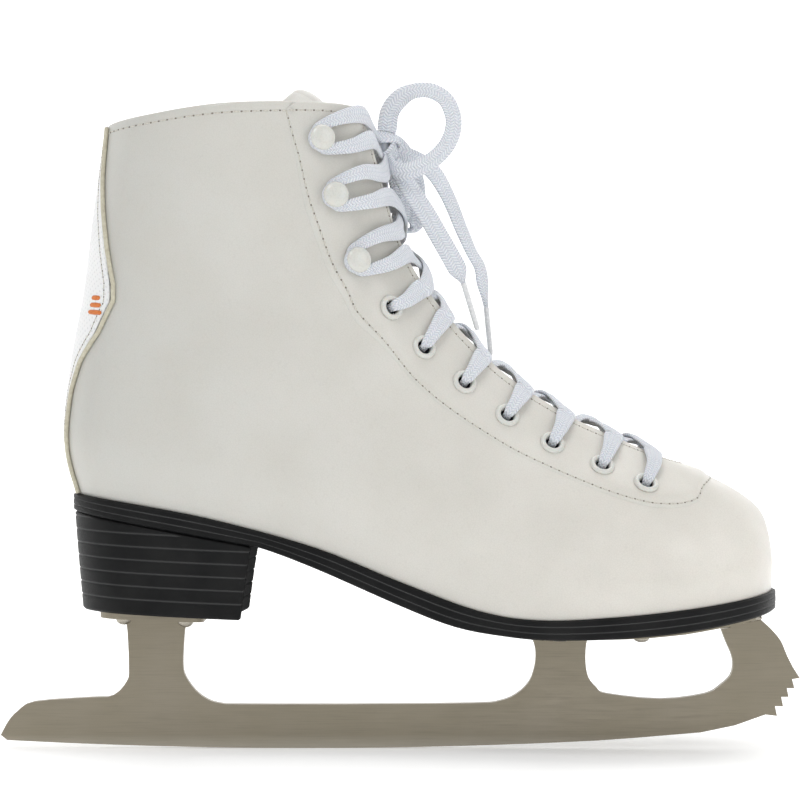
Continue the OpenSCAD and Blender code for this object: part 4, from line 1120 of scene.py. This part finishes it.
def add_tongue():
    """One padded form: its face is quilted by sewn channels, and its edge is bound and rounded."""
    bend = np.sin(np.linspace(0, math.pi / 2, 14))[1:]
    k = np.concatenate([np.linspace(0, TONGUE_LAST - END_ROUND, 140),
                        TONGUE_LAST - END_ROUND * (1 - 0.995 * bend)])
    ks, ws = patch(k, np.linspace(-1, 1, 61))
    seam = 1 - ramp(np.abs(np.abs(ws) - CHANNELS[0]), 0.0, 0.05)
    rim = 1 - ramp(1 - np.abs(ws), 0.0, 0.09)
    face = tongue_point(ks, ws, 0.15 + 0.6 * seam + 0.25 * rim)
    back = tongue_point(ks, ws, tongue_thick(ks) - 0.9 * seam - 0.8 * rim)
    section = rounded_rows(face, back, 6)
    n, rows = section.shape[:2]
    faces = grid_faces(n, rows, ring_m=True) + caps(n, rows)
    across, far = np.meshgrid(np.linspace(0, 110, rows), np.linspace(0, 190, n))
    piece = add_mesh("tongue_padded", (section.reshape(-1, 3), faces), UPPER,
                     ["tongue_shell", "tongue_padding", "tongue_lining"], body="tongue",
                     flat=np.stack([across, far, 0 * far], axis=-1))
    width = ws.shape[1]
    add_second(piece, LINING, (len(f) == 4 and width + 3 <= f[0] % rows < 2 * width + 6 for f in faces))


def add_tongue_stitches():
    threads, holes = [], []
    ks = np.linspace(0.25, TONGUE_LAST - 0.5, 400)
    for w, depth in ((-CHANNELS[1], 0.15), (-CHANNELS[0], 0.62), (CHANNELS[0], 0.62), (CHANNELS[1], 0.15)):
        place, ahead, at = resample(tongue_point(ks, w, depth), 3.2)
        k = np.interp(at, np.arange(len(ks)), ks)
        up = unit(tongue_point(k, w, 0) - tongue_point(k, w, 1))
        for p, d, h in zip(place, ahead, up):
            threads.append(capsule(p + 0.12 * h, d, h, 2.0, 0.35, 0.7))
            holes.append(capsule(p - d * 1.6 + 0.03 * h, d, h, 0.8, 0.38, 0.5))
    add_threads("tongue_stitches", threads, holes, body="tongue")


add_tongue()
add_tongue_stitches()

# ---- Sole and heel ----

WELT = 1.6
HEEL_PLATE = ((-112.5, 52.8), (-73.3, 51.2))


def line_through(x, ends):
    """The straight line through two points (x, z), also past its ends."""
    (x0, z0), (x1, z1) = ends
    return z0 + (z1 - z0) * (np.asarray(x, float) - x0) / (x1 - x0)


def heel_z(x):
    return line_through(x, HEEL_PLATE)


def outline(u):
    """Points of the featherline from above, with their outward directions."""
    p = boot(u, np.zeros_like(u))
    a, b = boot(u - 0.1, np.zeros_like(u)), boot(u + 0.1, np.zeros_like(u))
    d = unit(np.stack([b[:, 1] - a[:, 1], a[:, 0] - b[:, 0]], axis=1))
    return p[:, :2], -d


def sole_sheet(edge, row, height):
    """The sole's top or lower face, between the two sides of one row of its edge."""
    count = len(edge)
    i = np.arange(count // 2 + 1)
    a, b = edge[i, row], edge[-i % count, row]
    sheet = a[:, None] + (b - a)[:, None] * np.linspace(0, 1, 13)[None, :, None]
    sheet[..., 2] = height(sheet[..., 0])
    return sheet.reshape(-1, 3), grid_faces(len(i), 13, flip=row != 0)


def add_outsole():
    count = TURN * 22
    p, d = outline(np.linspace(0, TURN, count, endpoint=False))
    share = np.linspace(0, 1, 42)
    groove = np.max([1 - ramp(np.abs(share - at), 0.0, 0.035) for at in (0.34, 0.67)], axis=0)
    rounding = 0.9 * (1 - ramp(np.minimum(share, 1 - share), 0, 0.09))
    out = WELT - rounding + 0.12 * np.sin(share * math.pi) - 0.45 * groove
    flat = p[:, None] + out[None, :, None] * d[:, None]
    low, high = tread_z(flat[..., 0]), sole_z(flat[..., 0])
    edge = np.concatenate([flat, (low + (high - low) * share)[..., None]], axis=-1)
    verts, faces = join_grids([(edge, grid_faces(count, len(share), ring_n=True)),
                               sole_sheet(edge, 0, tread_z), sole_sheet(edge, -1, sole_z)])
    # Groove mask for the lighter grey of dust and painted highlight.
    dust_and_highlight = np.zeros((len(verts), 3))
    dust_and_highlight[:edge.size // 3, 0] = np.tile(groove * 0.9, count)
    add_mesh("outsole_edge", (verts, faces), BLACK, ["outsole"], groove=dust_and_highlight)


BREAST_X = -54.0
HEEL_LOW_X = (-120.2, -58.8)      # back and front of the heel's lower face
FIRST_LIFT = 5.8
LIFT_PITCH = 4.9


def heel_loop():
    """The heel's outline where it meets the sole, its outward directions and where its breast starts."""
    p, d = outline(np.linspace(HEEL - 2.6, HEEL + 2.6, 240))
    keep = p[:, 0] < BREAST_X
    side = p[keep] + (WELT - 0.5) * d[keep]
    across = np.linspace(0, 1, 46)[1:-1, None]
    breast = side[-1] + (side[0] - side[-1]) * across
    breast[:, 0] -= 2.2 * np.sin(np.pi * across[:, 0])
    loop = np.concatenate([side, breast])
    for _ in range(3):
        loop = (np.roll(loop, 1, 0) + 2 * loop + np.roll(loop, -1, 0)) / 4
    ahead = tangents(loop, close=True)
    out = np.stack([ahead[:, 1], -ahead[:, 0]], axis=1)
    return loop, out * np.sign(np.sum(out * (loop - loop.mean(axis=0)))), len(side)


def add_heel():
    """The stacked heel: lifts parallel to its lower face, with a thin groove between each two."""
    loop, out, breast = heel_loop()
    top = line_through(loop[:, 0], HEEL_SEAT) - 0.1
    back, front = loop[:, 0].min(), loop[:, 0].max()
    verts, dust_and_highlight = [], []
    for t in np.linspace(0, 1, 120):
        x0 = back + (HEEL_LOW_X[0] - back) * (1 - t) ** 1.15
        x1 = front + (HEEL_LOW_X[1] - front) * (1 - t) ** 0.8
        x = x0 + (x1 - x0) * (loop[:, 0] - back) / (front - back)
        y = loop[:, 1] * (1 - 0.05 * (1 - t))
        low = heel_z(x)
        z = low + (top - low) * t
        lift = (z - low - FIRST_LIFT) / LIFT_PITCH
        away = np.abs(lift - np.maximum(0, np.round(lift))) * LIFT_PITCH
        groove = (1 - ramp(away, 0.0, 0.42)) * (top - z > 0.8)
        into = 0.4 * groove + 0.7 * (1 - ramp(top - z, 0, 0.8)) + 0.6 * (1 - ramp(z - low, 0, 0.8))
        verts.append(np.column_stack([x - into * out[:, 0], y - into * out[:, 1], z]))
        # Groove mask for the lighter grey of dust and painted highlight.
        dust_and_highlight.append(groove[:, None] * [0.6, 0, 0])
    rows, n = len(verts), len(loop)
    faces = grid_faces(rows, n, ring_m=True, flip=True) + caps(rows, n, flip=True)
    heel = add_mesh("heel_lifts", (np.concatenate(verts), faces), BLACK, ["heel_block"],
                    groove=np.concatenate(dust_and_highlight))
    add_second(heel, MATT, (len(f) == 4 and f[0] % n >= breast for f in faces))


add_outsole()
add_heel()

# ---- Blade and the hidden parts ----

PLATE_T = 2.2
CAD_LOOKS = ((STEEL, "blade sole_plate heel_plate"), (SHANK, "shank"), (LINING_PLACED, "sock_liner"),
             (RIVET, "sole_plate_rivets heel_plate_rivets heel_nails"),
             (BOARD, "insole_board toe_puff heel_counter"),
             (FOAM, "ankle_padding_outer ankle_padding_inner"))
BEVELS = (("blade", 0.45), ("sole_plate", 0.5), ("heel_plate", 0.5), ("sock_liner", 0.8))


def finish_cad():
    for look, names in CAD_LOOKS:
        for name in names.split():
            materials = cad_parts[name].data.materials
            materials.clear()
            materials.append(look)
    for name, width in BEVELS:
        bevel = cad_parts[name].modifiers.new("bevel", "BEVEL")
        bevel.width = width * MM
        bevel.segments = 3
        bevel.limit_method = "ANGLE"
        bevel.angle_limit = math.radians(40)
        bevel.harden_normals = False


def add_weld(name, x0, x1, height):
    """The brazed fillet where a post of the blade runs into its plate."""
    a = around(72)
    x = (x0 + x1) / 2 + ((x1 - x0) / 2 + 0.6) * powered(np.cos(a), 0.25) + 0.12 * np.sin(9 * a)
    y = 2.3 * powered(np.sin(a), 0.25)
    route = np.stack([x, y, height(x) - PLATE_T - 0.35], axis=1)
    size = np.tile([2.9, 1.9], (len(a), 1)) * (1 + 0.08 * np.sin(7 * a))[:, None]
    shape = sweep(route, size, np.tile([0, 0, 1.0], (len(a), 1)), circle(12), close=True)
    add_mesh(name, shape, RIVET, slot="blade_steel")


finish_cad()
add_weld("weld_toe", 121.5, 135.5, tread_z)
add_weld("weld_middle", 50.5, 71.0, tread_z)
add_weld("weld_heel", -103.3, -82.2, heel_z)

# ---- Mark ----


def add_mark():
    """Three plain raised bars near the top of the backstay, on its outer side."""
    parts = []
    for k, (u, v) in enumerate(((9.24, 2.74), (9.26, 2.83), (9.28, 2.92))):
        side = boot(u + 0.1, v) - boot(u - 0.1, v)
        parts.append(capsule(skin(u, v, BACKSTAY_T), side, normal(u, v), 9.0 - 1.6 * k, 0.95, 0.2))
    add_mesh("backstay_mark", join_grids(parts), ORANGE, slot="backstay_leather")


add_mark()

# ---- Floor and light ----


FLOOR_Z = -0.0001
FLOOR_REACH = 8.0
BEND_Y, BEND_R, WALL_Z = 1.2, 0.8, 5.0
WHITE = (1, 1, 1, 1)


def add_floor():
    """A pale sheet on which the skate stands, curved up to a wall behind it. Its sizes are in metres."""
    rows = [(-FLOOR_REACH, FLOOR_Z), (BEND_Y, FLOOR_Z)]
    for a in np.linspace(0, math.pi / 2, 12)[1:]:
        rows.append((BEND_Y + BEND_R * math.sin(a), BEND_R - BEND_R * math.cos(a)))
    rows.append((BEND_Y + BEND_R, WALL_Z))
    verts = [(x / MM, y / MM, z / MM) for y, z in rows for x in (-FLOOR_REACH, FLOOR_REACH)]
    look = plain("pale_floor", rgb(253, 253, 253), rgb(251, 251, 250), (0.6, 0.7), 0.01, 0.0,
                 {"Emission Color": WHITE, "Emission Strength": 0.3})
    add_mesh("floor", (verts, grid_faces(len(rows), 2, flip=True)), look, ride=False)


def add_light(name, place, size, power, aim=(0, 0, 0.12)):
    data = bpy.data.lights.new(name, "AREA")
    data.size = size
    data.energy = power
    lamp = bpy.data.objects.new(name, data)
    lamp.location = place
    away = np.array(place) - aim
    lamp.rotation_euler = (math.acos(away[2] / size_of(away)), 0,
                           math.atan2(away[1], away[0]) + math.pi / 2)
    bpy.context.scene.collection.objects.link(lamp)


def add_world():
    world = bpy.data.worlds.new("studio")
    world.use_nodes = True
    ground = world.node_tree.nodes["Background"]
    ground.inputs["Color"].default_value = WHITE
    ground.inputs["Strength"].default_value = 0.52
    bpy.context.scene.world = world
    bpy.context.scene.view_settings.view_transform = "Standard"


add_floor()
add_light("key", (-0.5, -1.0, 1.5), 0.7, 7)
add_light("fill", (1.2, -1.0, 0.8), 1.0, 3.6)
add_light("top", (0.2, 0.3, 1.6), 1.0, 5.5)
add_light("backdrop", (0.0, 0.9, 1.3), 1.2, 9, aim=(0, 2.0, 0.6))
add_world()
